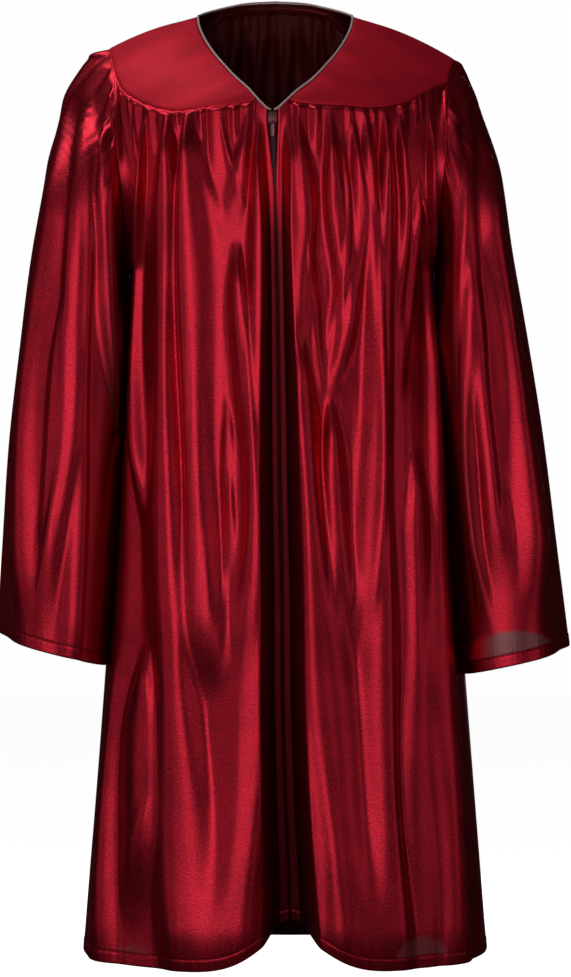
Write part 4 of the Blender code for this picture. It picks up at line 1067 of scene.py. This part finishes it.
def roll_along(path, radius):
    """A closed roll: rings square to a path, drawn in to a point at both ends."""
    forward = np.gradient(path, axis=0)
    forward /= np.linalg.norm(forward, axis=-1, keepdims=True)
    sideways = np.cross(forward, np.array([0, 0, 1.0]))
    sideways /= np.linalg.norm(sideways, axis=-1, keepdims=True)
    above = np.cross(sideways, forward)
    steps = np.concatenate(([0], np.cumsum(np.linalg.norm(np.diff(path, axis=0), axis=-1))))
    from_end = np.clip(np.minimum(steps, steps[-1] - steps) / radius, 0, 1)
    drawn = radius * np.sqrt(1 - (1 - from_end) ** 2)
    turn = np.linspace(0, 2 * pi, EDGING_SIDES + 1)
    ring = np.cos(turn)[:, None] * sideways[:, None] + np.sin(turn)[:, None] * above[:, None]
    points = path[:, None] + ring * drawn[:, None, None]
    where = np.broadcast_to(steps[:, None], points.shape[:2])
    return points, np.stack([where, np.broadcast_to(turn * radius, points.shape[:2])], axis=-1)


def channel_surface(out, z):
    """Points of the channel's lining at distances out from its axis, behind the fronts."""
    axis = by_height(CHANNEL, "axis", z)
    mouth = by_height(CHANNEL, "mouth", z)
    x = axis + out
    ring = body_ring(angle_at(x, z), z)[0]
    rise = channel_rise(np.abs(out), mouth)
    y = ring[..., 1] + (by_height(BODY, "front", z) - by_height(CHANNEL, "floor", z)) * (1 - rise)
    return np.stack([x, y + WALL + TAPE_GAP, z], axis=-1)


def tape_cloth(side):
    """A zip tape's points and cloth map, from beside the middle line outwards."""
    top = NECKLINE[0].z * MM - TAPE_BELOW_NECK
    z = np.linspace(top, ZIP_END - TAPE_PAST_END, TAPE_ROWS + 1)[:, None]
    share = np.linspace(0, 1, TAPE_COLUMNS + 1)
    reach = by_height(CHANNEL, "mouth", z) * TAPE_TO_MOUTH_SHARE
    out = TAPE_NEAR_MIDDLE + share * (reach - TAPE_NEAR_MIDDLE)
    z = np.broadcast_to(z, out.shape)
    points = channel_surface(side * out, z)
    return points, np.stack([out, -z], axis=-1)


def teeth_points():
    """Corners of the zip's teeth: one outline in two layers, moved down both sides in turn."""
    outline = np.array(TOOTH_OUTLINE) * MM
    layers = [np.stack([outline[:, 0], 0 * outline[:, 0] + depth, outline[:, 1]], axis=-1)
              for depth in (-TOOTH_HALF_DEPTH, TOOTH_HALF_DEPTH)]
    tooth = np.concatenate(layers)
    top = SLIDER_TOP - SLIDER_HEIGHT - TEETH_BELOW_SLIDER
    sides = []
    for side in (LEFT, RIGHT):
        z = np.arange(top - (side > 0) * TOOTH_PITCH / 2, ZIP_END + TEETH_ABOVE_STOP, -TOOTH_PITCH)
        middle = channel_surface(0 * z, z) + np.array([0, TOOTH_HALF_DEPTH - TEETH_FORWARD, 0])
        placed = tooth * np.array([-side, 1, 1])
        sides.append(middle[:, None] + placed[None])
    return np.concatenate(sides)


def teeth_faces(count, corners):
    """Each tooth's faces: its front, its back and the walls between."""
    ring = list(range(corners))
    faces = [tuple(ring), tuple(corner + corners for corner in reversed(ring))]
    faces += [((i + 1) % corners, i, i + corners, (i + 1) % corners + corners) for i in ring]
    return [tuple(corner + first for corner in face)
            for first in range(0, count * 2 * corners, 2 * corners) for face in faces]


def grid_corners(rows, columns, width):
    """Index rows of a grid's quads, whose points are kept in rows of the given width."""
    r, c = np.meshgrid(np.arange(rows - 1), np.arange(columns - 1), indexing="ij")
    after = (c + 1) % width
    quads = [r * width + c, r * width + after, (r + 1) * width + after, (r + 1) * width + c]
    return np.stack(quads, axis=-1).reshape(-1, 4)


def new_object(name, mesh, finishes):
    made = bpy.data.objects.new(name, mesh)
    for finish in finishes:
        mesh.materials.append(finish)
    bpy.context.scene.collection.objects.link(made)
    return made


def surface(name, points, where, finishes, wall=0.0, tube=False, tone=None):
    """An open surface or a tube on a grid of points, with its cloth map and a thickness.

    Above 0 the cloth is painted lighter, as painted backlight where one layer shows against the
    light; below 0 it is painted darker, as painted shade.
    """
    rows, columns = points.shape[:2]
    kept = columns - 1 if tube else columns
    mesh = bpy.data.meshes.new(name)
    corners = grid_corners(rows, columns, kept)
    mesh.from_pydata(points[:, :kept].reshape(-1, 3).tolist(), [], corners.tolist())
    cloth = mesh.uv_layers.new(name="cloth")
    places = where.reshape(-1, 2)[grid_corners(rows, columns, columns)]
    cloth.data.foreach_set("uv", places.reshape(-1).astype(np.float32))
    if tone is not None:
        made = mesh.attributes.new("tone", "FLOAT", "POINT")
        made.data.foreach_set("value", tone[:, :kept].reshape(-1).astype(np.float32))
    mesh.shade_smooth()
    mesh.validate()
    piece = new_object(name, mesh, finishes)
    if wall:
        thick = piece.modifiers.new("cloth", "SOLIDIFY")
        thick.thickness = wall
        thick.offset = -1
        thick.material_offset = len(finishes) - 1
    return piece


def facing_out(grids, side):
    """Rows of a left-hand piece run the right way round; a right-hand piece is turned over."""
    return grids if side == LEFT else [grid[:, ::-1] for grid in grids]


def tidy_mesh(mesh):
    """Merges corners that lie on each other and turns the faces outwards."""
    shape = bmesh.new()
    shape.from_mesh(mesh)
    bmesh.ops.remove_doubles(shape, verts=shape.verts, dist=1e-6)
    bmesh.ops.recalc_face_normals(shape, faces=shape.faces)
    shape.to_mesh(mesh)
    shape.free()


def rounded_copy(node, name, finish):
    """A merged copy of a metal node with its edges rounded."""
    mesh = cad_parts[node].data.copy()
    mesh.materials.clear()
    tidy_mesh(mesh)
    piece = new_object(name, mesh, [finish])
    bevel = piece.modifiers.new("rounded edges", "BEVEL")
    bevel.width = ROUNDED_METAL
    bevel.segments = 2
    bevel.limit_method = "ANGLE"
    bevel.angle_limit = radians(40)
    mesh.shade_smooth()
    return piece


class Amount:
    """A number that varies over a surface. Sums and products of it add Math nodes."""

    def __init__(self, finish, socket):
        self.finish = finish
        self.socket = socket

    def __add__(self, other):
        return self.finish.maths("ADD", self, other)

    __radd__ = __add__

    def __sub__(self, other):
        return self.finish.maths("SUBTRACT", self, other)

    def __rsub__(self, other):
        return self.finish.maths("SUBTRACT", other, self)

    def __mul__(self, other):
        return self.finish.maths("MULTIPLY", self, other)

    __rmul__ = __mul__

    def __truediv__(self, other):
        return self.finish.maths("DIVIDE", self, other)

    def __lt__(self, other):
        return self.finish.maths("LESS_THAN", self, other)

    def size(self):
        return self.finish.maths("ABSOLUTE", self)

    def part(self):
        return self.finish.maths("FRACT", self)

    def about_nothing(self, size):
        """Varies by half the size to each side of 0, where the amount goes from 0 to 1."""
        return (self - 0.5) * size

    def held(self, low, high):
        """0 at the low value and below, 1 at the high one and above, smooth between."""
        made = self.finish.node(
            "ShaderNodeMapRange",
            {"interpolation_type": "SMOOTHSTEP"},
            {"Value": self, "From Min": low, "From Max": high},
        )
        return Amount(self.finish, made.outputs["Result"])


class Finish:
    """A material built from nodes. Noise scales are for each metre, and bump heights in metres."""

    def __init__(self, name):
        self.material = bpy.data.materials.new(name)
        self.material.use_nodes = True
        self.tree = self.material.node_tree
        self.tree.nodes.clear()

    def node(self, kind, settings=None, sockets=None):
        """Adds a node: first its settings, then the values or links of its sockets."""
        made = self.tree.nodes.new(kind)
        for key, value in (settings or {}).items():
            setattr(made, key, value)
        for key, value in (sockets or {}).items():
            if isinstance(value, Amount):
                value = value.socket
            if isinstance(value, bpy.types.NodeSocket):
                self.tree.links.new(value, made.inputs[key])
            else:
                made.inputs[key].default_value = value
        return made

    def maths(self, operation, *values):
        made = self.node("ShaderNodeMath", {"operation": operation}, dict(enumerate(values)))
        return Amount(self, made.outputs[0])

    def cloth_place(self):
        """The piece's own cloth map, in metres."""
        return self.node("ShaderNodeUVMap", {"uv_map": "cloth"}).outputs["UV"]

    def object_place(self):
        return self.node("ShaderNodeTexCoord").outputs["Object"]

    def stretched(self, place, scale, turn=(0, 0, 0)):
        sockets = {"Vector": place, "Scale": scale, "Rotation": turn}
        made = self.node("ShaderNodeMapping", None, sockets)
        return made.outputs["Vector"]

    def separated(self, place):
        made = self.node("ShaderNodeSeparateXYZ", None, {"Vector": place})
        return [Amount(self, socket) for socket in made.outputs]

    def noise(self, place, scale, detail=3.0, roughness=0.55):
        made = self.node(
            "ShaderNodeTexNoise", None,
            {"Vector": place, "Scale": scale, "Detail": detail, "Roughness": roughness},
        )
        return Amount(self, made.outputs[0])

    def wales(self, place, spacing):
        """The knit's upright wales, a sine across the cloth."""
        made = self.node(
            "ShaderNodeTexWave", {"bands_direction": "X", "wave_profile": "SIN"},
            {"Vector": place, "Scale": 2 * pi / (WAVE_NODE_TURN * spacing), "Distortion": 0.0},
        )
        return Amount(self, made.outputs["Fac"])

    def painted(self, name):
        made = self.node("ShaderNodeAttribute", {"attribute_name": name})
        return Amount(self, made.outputs["Fac"])

    def mixed(self, amount, first, second):
        """One colour where the amount is 0 and another where it is 1."""
        made = self.node("ShaderNodeMix", {"data_type": "RGBA"}, {0: amount, 6: first, 7: second})
        return made.outputs[2]

    def shades(self, amount, colour, darkest, lightest):
        """A colour that goes from a darker to a lighter shade as the amount goes from 0 to 1."""
        return self.mixed(amount, opaque(shaded(colour, darkest)), opaque(shaded(colour, lightest)))

    def raised(self, height):
        """A bump whose heights are in metres."""
        sockets = {"Height": height, "Distance": 1.0, "Strength": 1.0}
        made = self.node("ShaderNodeBump", None, sockets)
        return made.outputs["Normal"]

    def shader(self, **sockets):
        """Puts a Principled surface on the output; underscores in the names stand for spaces."""
        named = {key.replace("_", " "): value for key, value in sockets.items()}
        made = self.node("ShaderNodeBsdfPrincipled", None, named)
        self.node("ShaderNodeOutputMaterial", None, {"Surface": made.outputs["BSDF"]})
        return self.material


def opaque(colour):
    return (*colour, 1.0)


def shaded(colour, factor):
    return tuple(channel * factor for channel in colour)


# Patterns of the knitted cloth: the scales of its noises, the clouds' share in its colour, between
# which sums the colour turns, its darkest and lightest shades, and the heights of its bumps
Knit = namedtuple(
    "Knit",
    "grain sharpness clouds slubs cloud_share turns_at turned_at darkest lightest "
    "bump slub_bump wale_bump",
)
SATIN = Knit(620.0, 0.65, 26.0, (220, 900, 1), 0.3, 0.34, 0.66, 0.62, 1.28, 1e-4, 5e-5, 5e-6)
YOKE = Knit(1000.0, 0.65, 24.0, (260, 1500, 1), 0.45, 0.3, 0.7, 0.70, 1.25, 4e-5, 2e-5, 5e-6)
REVERSE = Knit(900.0, 0.6, 30.0, (260, 1500, 1), 0.5, 0.3, 0.7, 0.8, 1.15, 1e-5, 0.0, 1e-5)
# How dark the painted shade makes the satin's colour
PAINTED_SHADE_DARKNESS = 0.30
# The wave node's sine turns by this angle for each metre and each unit of its scale
WAVE_NODE_TURN = 20
STITCH_WIDTH = 0.00032
STITCH_SHARE = 0.74


def knitted(finish, knit, colour, sizes):
    """A knit's colour and the height of its bumps, and its grain, clouds and slubs."""
    place = finish.cloth_place()
    grain = finish.noise(place, knit.grain, 3.0, knit.sharpness)
    clouds = finish.noise(place, knit.clouds, 3.0, 0.5)
    slubs = finish.noise(finish.stretched(place, knit.slubs), 1.0, 2.0, 0.5)
    turning = clouds * knit.cloud_share + grain * (1 - knit.cloud_share)
    wales = finish.wales(place, sizes.wale_spacing)
    height = grain * knit.bump + slubs * knit.slub_bump + wales * knit.wale_bump
    turned = turning.held(knit.turns_at, knit.turned_at)
    return finish.shades(turned, colour, knit.darkest, knit.lightest), height, grain, clouds, slubs


def satin_finish(name, sizes, hemmed):
    """Shiny cloth: fine grain and wales, slow changes of colour, painted backlight and painted
    shade, and a stitched hem.
    """
    finish = Finish(name)
    colour, height, grain, clouds, slubs = knitted(finish, SATIN, sizes.satin_colour, sizes)
    # Painted light and shade: lighter where one layer of cloth shows against the light, darker in
    # the channel and beside the trunk
    tone = finish.painted("tone")
    painted_backlit = tone.held(0.0, 1.0)
    painted_shade = (tone * -1).held(0.0, 1.0)
    colour = finish.mixed(painted_backlit, colour, opaque(sizes.painted_backlight_colour))
    colour = finish.mixed(painted_shade, colour, opaque(shaded(sizes.satin_colour, PAINTED_SHADE_DARKNESS)))
    gloss = sizes.roughness + slubs.about_nothing(0.12) + clouds.about_nothing(0.10)
    gloss = gloss + grain.about_nothing(0.08)
    if hemmed:
        across, above, _ = finish.separated(finish.cloth_place())
        line = 1 - ((above - HEM_DEPTH).size() / STITCH_WIDTH).held(0.4, 1.0)
        stitches = line * ((across / STITCH_LENGTH).part() < STITCH_SHARE)
        height = height + stitches * 0.00010
        colour = finish.mixed(stitches * 0.5, colour, opaque(shaded(sizes.satin_colour, 0.6)))
        gloss = gloss + stitches * 0.25
    return finish.shader(
        Base_Color=colour, Metallic=sizes.shine * (1 - painted_backlit * 0.6), Roughness=gloss,
        Normal=finish.raised(height), Coat_Weight=sizes.lustre, Coat_Roughness=0.45,
    )


def yoke_finish(sizes):
    """The yoke's cloth lies smooth and taut, so its fine grain shows more than its shine."""
    finish = Finish("maroon satin yoke")
    colour, height, grain, _, slubs = knitted(finish, YOKE, sizes.yoke_colour, sizes)
    return finish.shader(
        Base_Color=colour, Metallic=sizes.shine * 0.45, Normal=finish.raised(height),
        Roughness=sizes.roughness + 0.14 + slubs.about_nothing(0.12) + grain.about_nothing(0.10),
        Specular_IOR_Level=0.15,
    )


def reverse_finish(sizes):
    """The cloth's matt inner side, its colour darkened further as painted shade inside the gown."""
    finish = Finish("maroon satin reverse")
    colour, height, grain, _, _ = knitted(finish, REVERSE, sizes.reverse_and_shade_colour, sizes)
    return finish.shader(
        Base_Color=colour, Metallic=0.25, Roughness=0.6 + grain.about_nothing(0.15),
        Normal=finish.raised(height), Specular_IOR_Level=0.2,
    )


def edging_finish(sizes):
    """The roll, painted pale as a highlight along the neck's edge, with slanting threads wound
    round it.
    """
    finish = Finish("pale neck edging")
    place = finish.cloth_place()
    along_roll, round_roll, _ = finish.separated(place)
    threads = ((along_roll + round_roll * THREAD_SLANT) / THREAD_SPACING).part()
    ridge = 1 - (threads - 0.5).size() * 2
    fuzz = finish.noise(place, 1400.0, 3.0, 0.6)
    turning = (ridge * 0.6 + fuzz * 0.4).held(0.2, 0.75)
    return finish.shader(
        Base_Color=finish.shades(turning, sizes.edging_highlight_colour, 0.6, 1.1),
        Roughness=0.62 + fuzz.about_nothing(0.2), Metallic=0.0,
        Normal=finish.raised(ridge * 0.00012 + fuzz * 0.00003), Sheen_Weight=0.2,
    )


def tape_finish(sizes):
    """The woven zip tape: herringbone, in bands that slant one way and then the other."""
    finish = Finish("woven zip tape")
    place = finish.cloth_place()
    across, down, _ = finish.separated(place)
    band = ((across / HERRINGBONE).part() - 0.5).size() * (2 * HERRINGBONE)
    twill = (((down + band) / TWILL_SPACING).part() - 0.5).size() * 2
    fuzz = finish.noise(place, 1600.0, 3.0, 0.6)
    turning = (twill * 0.6 + fuzz * 0.4).held(0.25, 0.8)
    return finish.shader(
        Base_Color=finish.shades(turning, sizes.tape_colour, 0.6, 1.25),
        Roughness=0.66 + fuzz.about_nothing(0.15), Metallic=0.0,
        Normal=finish.raised(twill * 0.00006 + fuzz * 0.00002), Specular_IOR_Level=0.2,
    )


def enamel_finish(sizes, name, colour, roughness, metallic):
    """Enamelled metal or moulded teeth: fine orange-peel, faint scratches and rubbed spots."""
    finish = Finish(name)
    place = finish.object_place()
    peel = finish.noise(place, 2600.0, 3.0, 0.5)
    drawn_out = finish.stretched(place, (9000, 9000, 700), (0.2, 0.5, 0))
    scratches = finish.noise(drawn_out, 1.0, 2.0, 0.6)
    rubbed = finish.noise(place, 1500.0, 4.0, 0.6).held(0.63, 0.70)
    base = finish.shades((peel * 0.6 + scratches * 0.4).held(0.3, 0.7), colour, 0.8, 1.15)
    return finish.shader(
        Base_Color=finish.mixed(rubbed * 0.5, base, opaque(sizes.worn_metal_colour)),
        Metallic=metallic + rubbed * 0.2, Roughness=roughness + scratches.about_nothing(0.2),
        Normal=finish.raised(peel * 0.000006 + scratches * 0.000004),
    )


def plain_finish(name, colour, glow):
    """The studio's own plain surfaces, with a faint mottle."""
    finish = Finish(name)
    shade = finish.shades(finish.noise(finish.object_place(), 3.0, 2.0, 0.5), colour, 0.995, 1.0)
    return finish.shader(
        Base_Color=shade, Roughness=0.9, Specular_IOR_Level=0.0,
        Emission_Color=shade, Emission_Strength=glow,
    )


def length_size(name, description, default, low, high):
    return bpy.props.FloatProperty(
        name=name, description=description, default=default, min=low, max=high,
        precision=5, unit="LENGTH",
    )


def share_size(name, description, default, low=0.0, high=1.0):
    return bpy.props.FloatProperty(
        name=name, description=description, default=default, min=low, max=high, subtype="FACTOR"
    )


def colour_choice(name, description, default):
    return bpy.props.FloatVectorProperty(
        name=name, description=description, default=default, min=0.0, max=1.0, subtype="COLOR"
    )


def light_power(name, description, default):
    return bpy.props.FloatProperty(
        name=name, description=description, default=default, min=0.0, unit="POWER"
    )


class GownClothSizes(bpy.types.PropertyGroup):
    """Sizes and colours of the cloth and the zip."""

    cloth_wall: length_size(
        "Cloth thickness", "Thickness of the cloth's shell", 0.00055, 0.0002, 0.0012
    )
    fold_depth: share_size(
        "Fold depth", "Depth of the folds as a share of the tables' heights", 1.15, high=1.3
    )
    wale_spacing: length_size(
        "Wale spacing", "Distance between the knit's upright wales", 0.0014137, 0.0006, 0.006
    )
    edging_radius: length_size(
        "Edging radius", "Radius of the roll round the neck", 0.00085, 0.0004, 0.002
    )
    shine: share_size("Shine", "How metallic the satin looks", 0.90)
    roughness: share_size("Roughness", "Roughness of the satin", 0.40, low=0.1)
    lustre: share_size("Lustre", "Strength of the clear gloss on the satin", 0.10)
    satin_colour: colour_choice("Satin colour", "Colour of the satin's face", (0.60, 0.012, 0.034))
    yoke_colour: colour_choice(
        "Yoke colour", "Colour of the smooth yoke's face", (0.70, 0.014, 0.038)
    )
    # Painted shade: the inner side's colour is darker than the cloth's own, for the shade inside
    # the gown
    reverse_and_shade_colour: colour_choice(
        "Reverse colour", "Colour of the cloth's inner side", (0.085, 0.002, 0.004)
    )
    # Painted backlight: the lighter colour painted where one layer of cloth shows against the light
    painted_backlight_colour: colour_choice(
        "Single layer colour", "Colour of one layer against the light", (0.30, 0.085, 0.095)
    )
    # Painted highlight: the roll's pale colour stands for light along the neck's edge
    edging_highlight_colour: colour_choice(
        "Edging colour", "Colour of the neck's pale roll", (0.78, 0.58, 0.58)
    )
    tape_colour: colour_choice(
        "Tape colour", "Colour of the zip's tape and teeth", (0.075, 0.005, 0.010)
    )
    enamel_colour: colour_choice(
        "Enamel colour", "Colour of the slider, its pull and the bottom stop", (0.17, 0.045, 0.055)
    )
    worn_metal_colour: colour_choice(
        "Worn metal colour", "Colour of metal where the enamel is rubbed", (0.32, 0.20, 0.19)
    )


class GownStudioSizes(bpy.types.PropertyGroup):
    """Strengths of the studio's lights and the shade of its floor."""

    key_power: light_power("Key power", "Power of the wide softbox above the camera", 24.0)
    side_power: light_power("Side power", "Power of the weak softbox at the right side", 4.2)
    left_power: light_power("Left power", "Power of the weak softbox at the left side", 3.6)
    top_power: light_power("Top power", "Power of the softbox above the shoulders", 11.0)
    fill_power: light_power("Fill power", "Power of the narrow softbox right of the camera", 1.0)
    rear_power: light_power("Rear power", "Power of the softbox behind the gown", 10.0)
    floor_colour: colour_choice(
        "Floor colour", "Colour of the pale floor and backdrop", (0.96, 0.96, 0.96)
    )


# The softboxes: where each stands, how wide and high it is, and what it points at
Softbox = namedtuple("Softbox", "power place size aim")
SOFTBOXES = {
    "key": Softbox("key_power", (-0.65, -3.2, 0.10), (2.4, 1.5), (0.0, 0.0, -0.33)),
    "side": Softbox("side_power", (2.4, -1.6, -0.1), (1.3, 1.7), (0.0, 0.0, -0.35)),
    "left": Softbox("left_power", (-2.5, -1.3, -0.1), (1.3, 1.6), (0.0, 0.0, -0.35)),
    "top": Softbox("top_power", (-0.80, -0.1, 1.75), (0.9, 0.9), (-0.1, 0.0, -0.05)),
    "fill": Softbox("fill_power", (1.1, -3.2, -0.5), (0.5, 2.2), (0.0, 0.0, -0.35)),
    "rear": Softbox("rear_power", (0.3, 2.7, 0.2), (1.1, 1.9), (0.0, 0.0, -0.35)),
}


def satin_pair(sizes, hemmed=True):
    """The cloth's face and its reverse; a finish is made once and then used again."""
    name = "maroon satin, hemmed" if hemmed else "maroon satin"
    face = bpy.data.materials.get(name)
    if face is None:
        face = satin_finish(name, sizes, hemmed)
    reverse = bpy.data.materials.get("maroon satin reverse") or reverse_finish(sizes)
    return [face, reverse]


def worn(piece, slot, *nodes):
    """A piece rides on the gown and stands for its nodes. Its slot is not used."""
    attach(piece, "gown")
    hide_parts(*nodes)


class GOWN_OT_yokes(bpy.types.Operator):
    """Makes the two smooth yokes"""

    bl_idname = "gown.yokes"
    bl_label = "Yokes"

    def execute(self, context):
        sizes = context.scene.gown_cloth
        face = yoke_finish(sizes)
        reverse = satin_pair(sizes)[1]
        for side in (LEFT, RIGHT):
            points, where = facing_out(yoke_cloth(side), side)
            name = "yoke_%s_cloth" % SIDE_NAME[side]
            piece = surface(name, points, where, [face, reverse], wall=sizes.cloth_wall)
            worn(piece, "maroon_satin", "yoke_" + SIDE_NAME[side])
        return {"FINISHED"}


class GOWN_OT_fronts(bpy.types.Operator):
    """Makes the two gathered fronts, turned in over the zip"""

    bl_idname = "gown.fronts"
    bl_label = "Fronts"

    def execute(self, context):
        sizes = context.scene.gown_cloth
        for side in (LEFT, RIGHT):
            name = "front_%s" % SIDE_NAME[side]
            points, where = front_cloth(side, sizes.fold_depth)
            # Painted backlight above the hem and painted shade in the channel over the zip
            tone = painted_backlight(name, points, where[..., 1]) - painted_channel_shade(points)
            points, where, tone = facing_out((points, where, tone), side)
            piece = surface(
                name + "_cloth", points, where, satin_pair(sizes), sizes.cloth_wall, tone=tone
            )
            worn(piece, "maroon_satin", name)
        return {"FINISHED"}


class GOWN_OT_back(bpy.types.Operator):
    """Makes the gathered back and the band at the nape that it hangs from"""

    bl_idname = "gown.back"
    bl_label = "Back and neck band"

    def execute(self, context):
        sizes = context.scene.gown_cloth
        points, where = back_cloth(sizes.fold_depth)
        piece = surface("back_cloth", points, where, satin_pair(sizes), sizes.cloth_wall)
        worn(piece, "maroon_satin", "back")
        points, where = band_cloth()
        band = surface(
            "back_neck_band_cloth", points[::-1], where[::-1], satin_pair(sizes, False),
            sizes.cloth_wall,
        )
        worn(band, "maroon_satin", "back_neck_band")
        return {"FINISHED"}


class GOWN_OT_sleeves(bpy.types.Operator):
    """Makes the two long wide sleeves"""

    bl_idname = "gown.sleeves"
    bl_label = "Sleeves"

    def execute(self, context):
        sizes = context.scene.gown_cloth
        for side in (LEFT, RIGHT):
            name = "sleeve_%s" % SIDE_NAME[side]
            points, where = sleeve_cloth(side, sizes.fold_depth)
            # Painted backlight above the cuff and painted shade between sleeve and trunk
            tone = painted_backlight(name, points, where[..., 1]) - painted_sleeve_shade(points, side)
            points, where, tone = facing_out((points, where, tone), -side)
            piece = surface(
                name + "_cloth", points, where, satin_pair(sizes), sizes.cloth_wall, True, tone
            )
            worn(piece, "maroon_satin", name)
        return {"FINISHED"}


class GOWN_OT_neck(bpy.types.Operator):
    """Makes the thin roll round the neck, painted pale as a highlight"""

    bl_idname = "gown.neck"
    bl_label = "Neck edging"

    def execute(self, context):
        sizes = context.scene.gown_cloth
        points, where = roll_along(edging_path(), sizes.edging_radius)
        roll = surface("neck_edging_roll", points, where, [edging_finish(sizes)], tube=True)
        tidy_mesh(roll.data)
        worn(roll, "pale_edging", "neck_edging")
        return {"FINISHED"}


class GOWN_OT_zip(bpy.types.Operator):
    """Makes the zip: woven tapes, teeth, slider, pull tab and bottom stop"""

    bl_idname = "gown.zip"
    bl_label = "Zip"

    def execute(self, context):
        sizes = context.scene.gown_cloth
        woven = tape_finish(sizes)
        for side in (LEFT, RIGHT):
            points, where = facing_out(tape_cloth(side), side)
            name = "zip_tape_" + SIDE_NAME[side]
            tape = surface(name + "_woven", points, where, [woven], wall=TAPE_THICKNESS)
            worn(tape, "zip_tape", name)
        corners = teeth_points()
        mesh = bpy.data.meshes.new("zip_teeth")
        faces = teeth_faces(len(corners), len(TOOTH_OUTLINE))
        mesh.from_pydata(corners.reshape(-1, 3).tolist(), [], faces)
        tidy_mesh(mesh)
        moulded = enamel_finish(sizes, "moulded teeth", sizes.tape_colour, 0.55, 0.0)
        worn(new_object("zip_teeth", mesh, [moulded]), "zip_tape", "zip_chain")
        enamel = enamel_finish(sizes, "enamelled zip", sizes.enamel_colour, 0.34, 0.55)
        copies = {"zip_slider": "slider_enamelled", "zip_bottom_stop": "stop_enamelled"}
        for node, name in copies.items():
            worn(rounded_copy(node, name, enamel), "enamelled_zip", node)
        tab = rounded_copy("pull_tab", "pull_tab_enamelled", enamel)
        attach(tab, "pull")
        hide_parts("pull_tab")
        return {"FINISHED"}


def turned_to(place, aim):
    """Turns a light or camera from its place towards a point."""
    return (Vector(aim) - Vector(place)).to_track_quat("-Z", "Y").to_euler()


def make_dome(finish):
    """A backdrop: a half globe that opens downwards, on a grid of turn and height."""
    turn, lift = np.meshgrid(np.linspace(0, 2 * pi, 65), np.linspace(pi / 2, -0.02, 17))
    flat = BACKDROP_RADIUS * np.cos(lift)
    up = FLOOR_HEIGHT + BACKDROP_RADIUS * np.sin(lift)
    points = np.stack([flat * np.cos(turn), flat * np.sin(turn), up], axis=-1)
    dome = surface("backdrop", points, np.stack([turn, lift], axis=-1), [finish], tube=True)
    tidy_mesh(dome.data)
    dome.data.flip_normals()
    return dome


def make_floor(finish):
    steps = np.linspace(-BACKDROP_RADIUS, BACKDROP_RADIUS, 9)
    x, y = np.meshgrid(steps, steps[::-1])
    points = np.stack([x, y, 0 * x + FLOOR_HEIGHT], axis=-1)
    return surface("floor", points, np.stack([x, y], axis=-1), [finish])


class GOWN_OT_studio(bpy.types.Operator):
    """Makes the camera, the soft lights, the pale floor and the backdrop"""

    bl_idname = "gown.studio"
    bl_label = "Studio"

    def execute(self, context):
        scene = context.scene
        studio = scene.gown_studio
        pale = plain_finish("pale studio", tuple(studio.floor_colour), 1.0)
        for item in (make_dome(pale), make_floor(pale)):
            item.visible_diffuse = False
            item.visible_glossy = False
            item.visible_shadow = False
        for name, box in SOFTBOXES.items():
            lamp = bpy.data.lights.new("softbox_" + name, "AREA")
            lamp.shape = "RECTANGLE"
            lamp.size, lamp.size_y = box.size
            lamp.energy = getattr(studio, box.power)
            holder = bpy.data.objects.new("softbox_" + name, lamp)
            holder.location = box.place
            holder.rotation_euler = turned_to(box.place, box.aim)
            holder.visible_camera = False
            scene.collection.objects.link(holder)
        camera = bpy.data.cameras.new("camera")
        camera.sensor_fit = "VERTICAL"
        camera.sensor_height = CAMERA_SENSOR
        camera.lens = CAMERA_LENS
        viewer = bpy.data.objects.new("camera", camera)
        viewer.location = CAMERA_PLACE
        viewer.rotation_euler = (pi / 2, 0, 0)
        scene.collection.objects.link(viewer)
        scene.camera = viewer
        world = bpy.data.worlds.new("studio")
        world.use_nodes = True
        background = world.node_tree.nodes["Background"]
        background.inputs["Color"].default_value = opaque(WORLD_COLOUR)
        scene.world = world
        scene.view_settings.view_transform = "Standard"
        return {"FINISHED"}


BUILD_ORDER = (
    GOWN_OT_studio, GOWN_OT_yokes, GOWN_OT_fronts, GOWN_OT_back, GOWN_OT_sleeves, GOWN_OT_neck,
    GOWN_OT_zip,
)


class GOWN_PT_sidebar(bpy.types.Panel):
    """Lists the gown's sizes and the buttons that make its pieces"""

    bl_idname = "GOWN_PT_sidebar"
    bl_label = "Graduation gown"
    bl_space_type = "VIEW_3D"
    bl_region_type = "UI"
    bl_category = "Gown"

    def draw(self, context):
        for group in (context.scene.gown_cloth, context.scene.gown_studio):
            column = self.layout.column()
            for name in group.bl_rna.properties.keys():
                if name not in ("rna_type", "name"):
                    column.prop(group, name)
        for operator in BUILD_ORDER:
            self.layout.operator(operator.bl_idname)


CLASSES = (GownClothSizes, GownStudioSizes, *BUILD_ORDER, GOWN_PT_sidebar)


def register():
    for item in CLASSES:
        bpy.utils.register_class(item)
    bpy.types.Scene.gown_cloth = bpy.props.PointerProperty(type=GownClothSizes)
    bpy.types.Scene.gown_studio = bpy.props.PointerProperty(type=GownStudioSizes)


def unregister():
    del bpy.types.Scene.gown_studio
    del bpy.types.Scene.gown_cloth
    for item in reversed(CLASSES):
        bpy.utils.unregister_class(item)


def main():
    register()
    bpy.ops.gown.studio()
    bpy.ops.gown.yokes()
    bpy.ops.gown.fronts()
    bpy.ops.gown.back()
    bpy.ops.gown.sleeves()
    bpy.ops.gown.neck()
    bpy.ops.gown.zip()


if __name__ == "__main__":
    main()
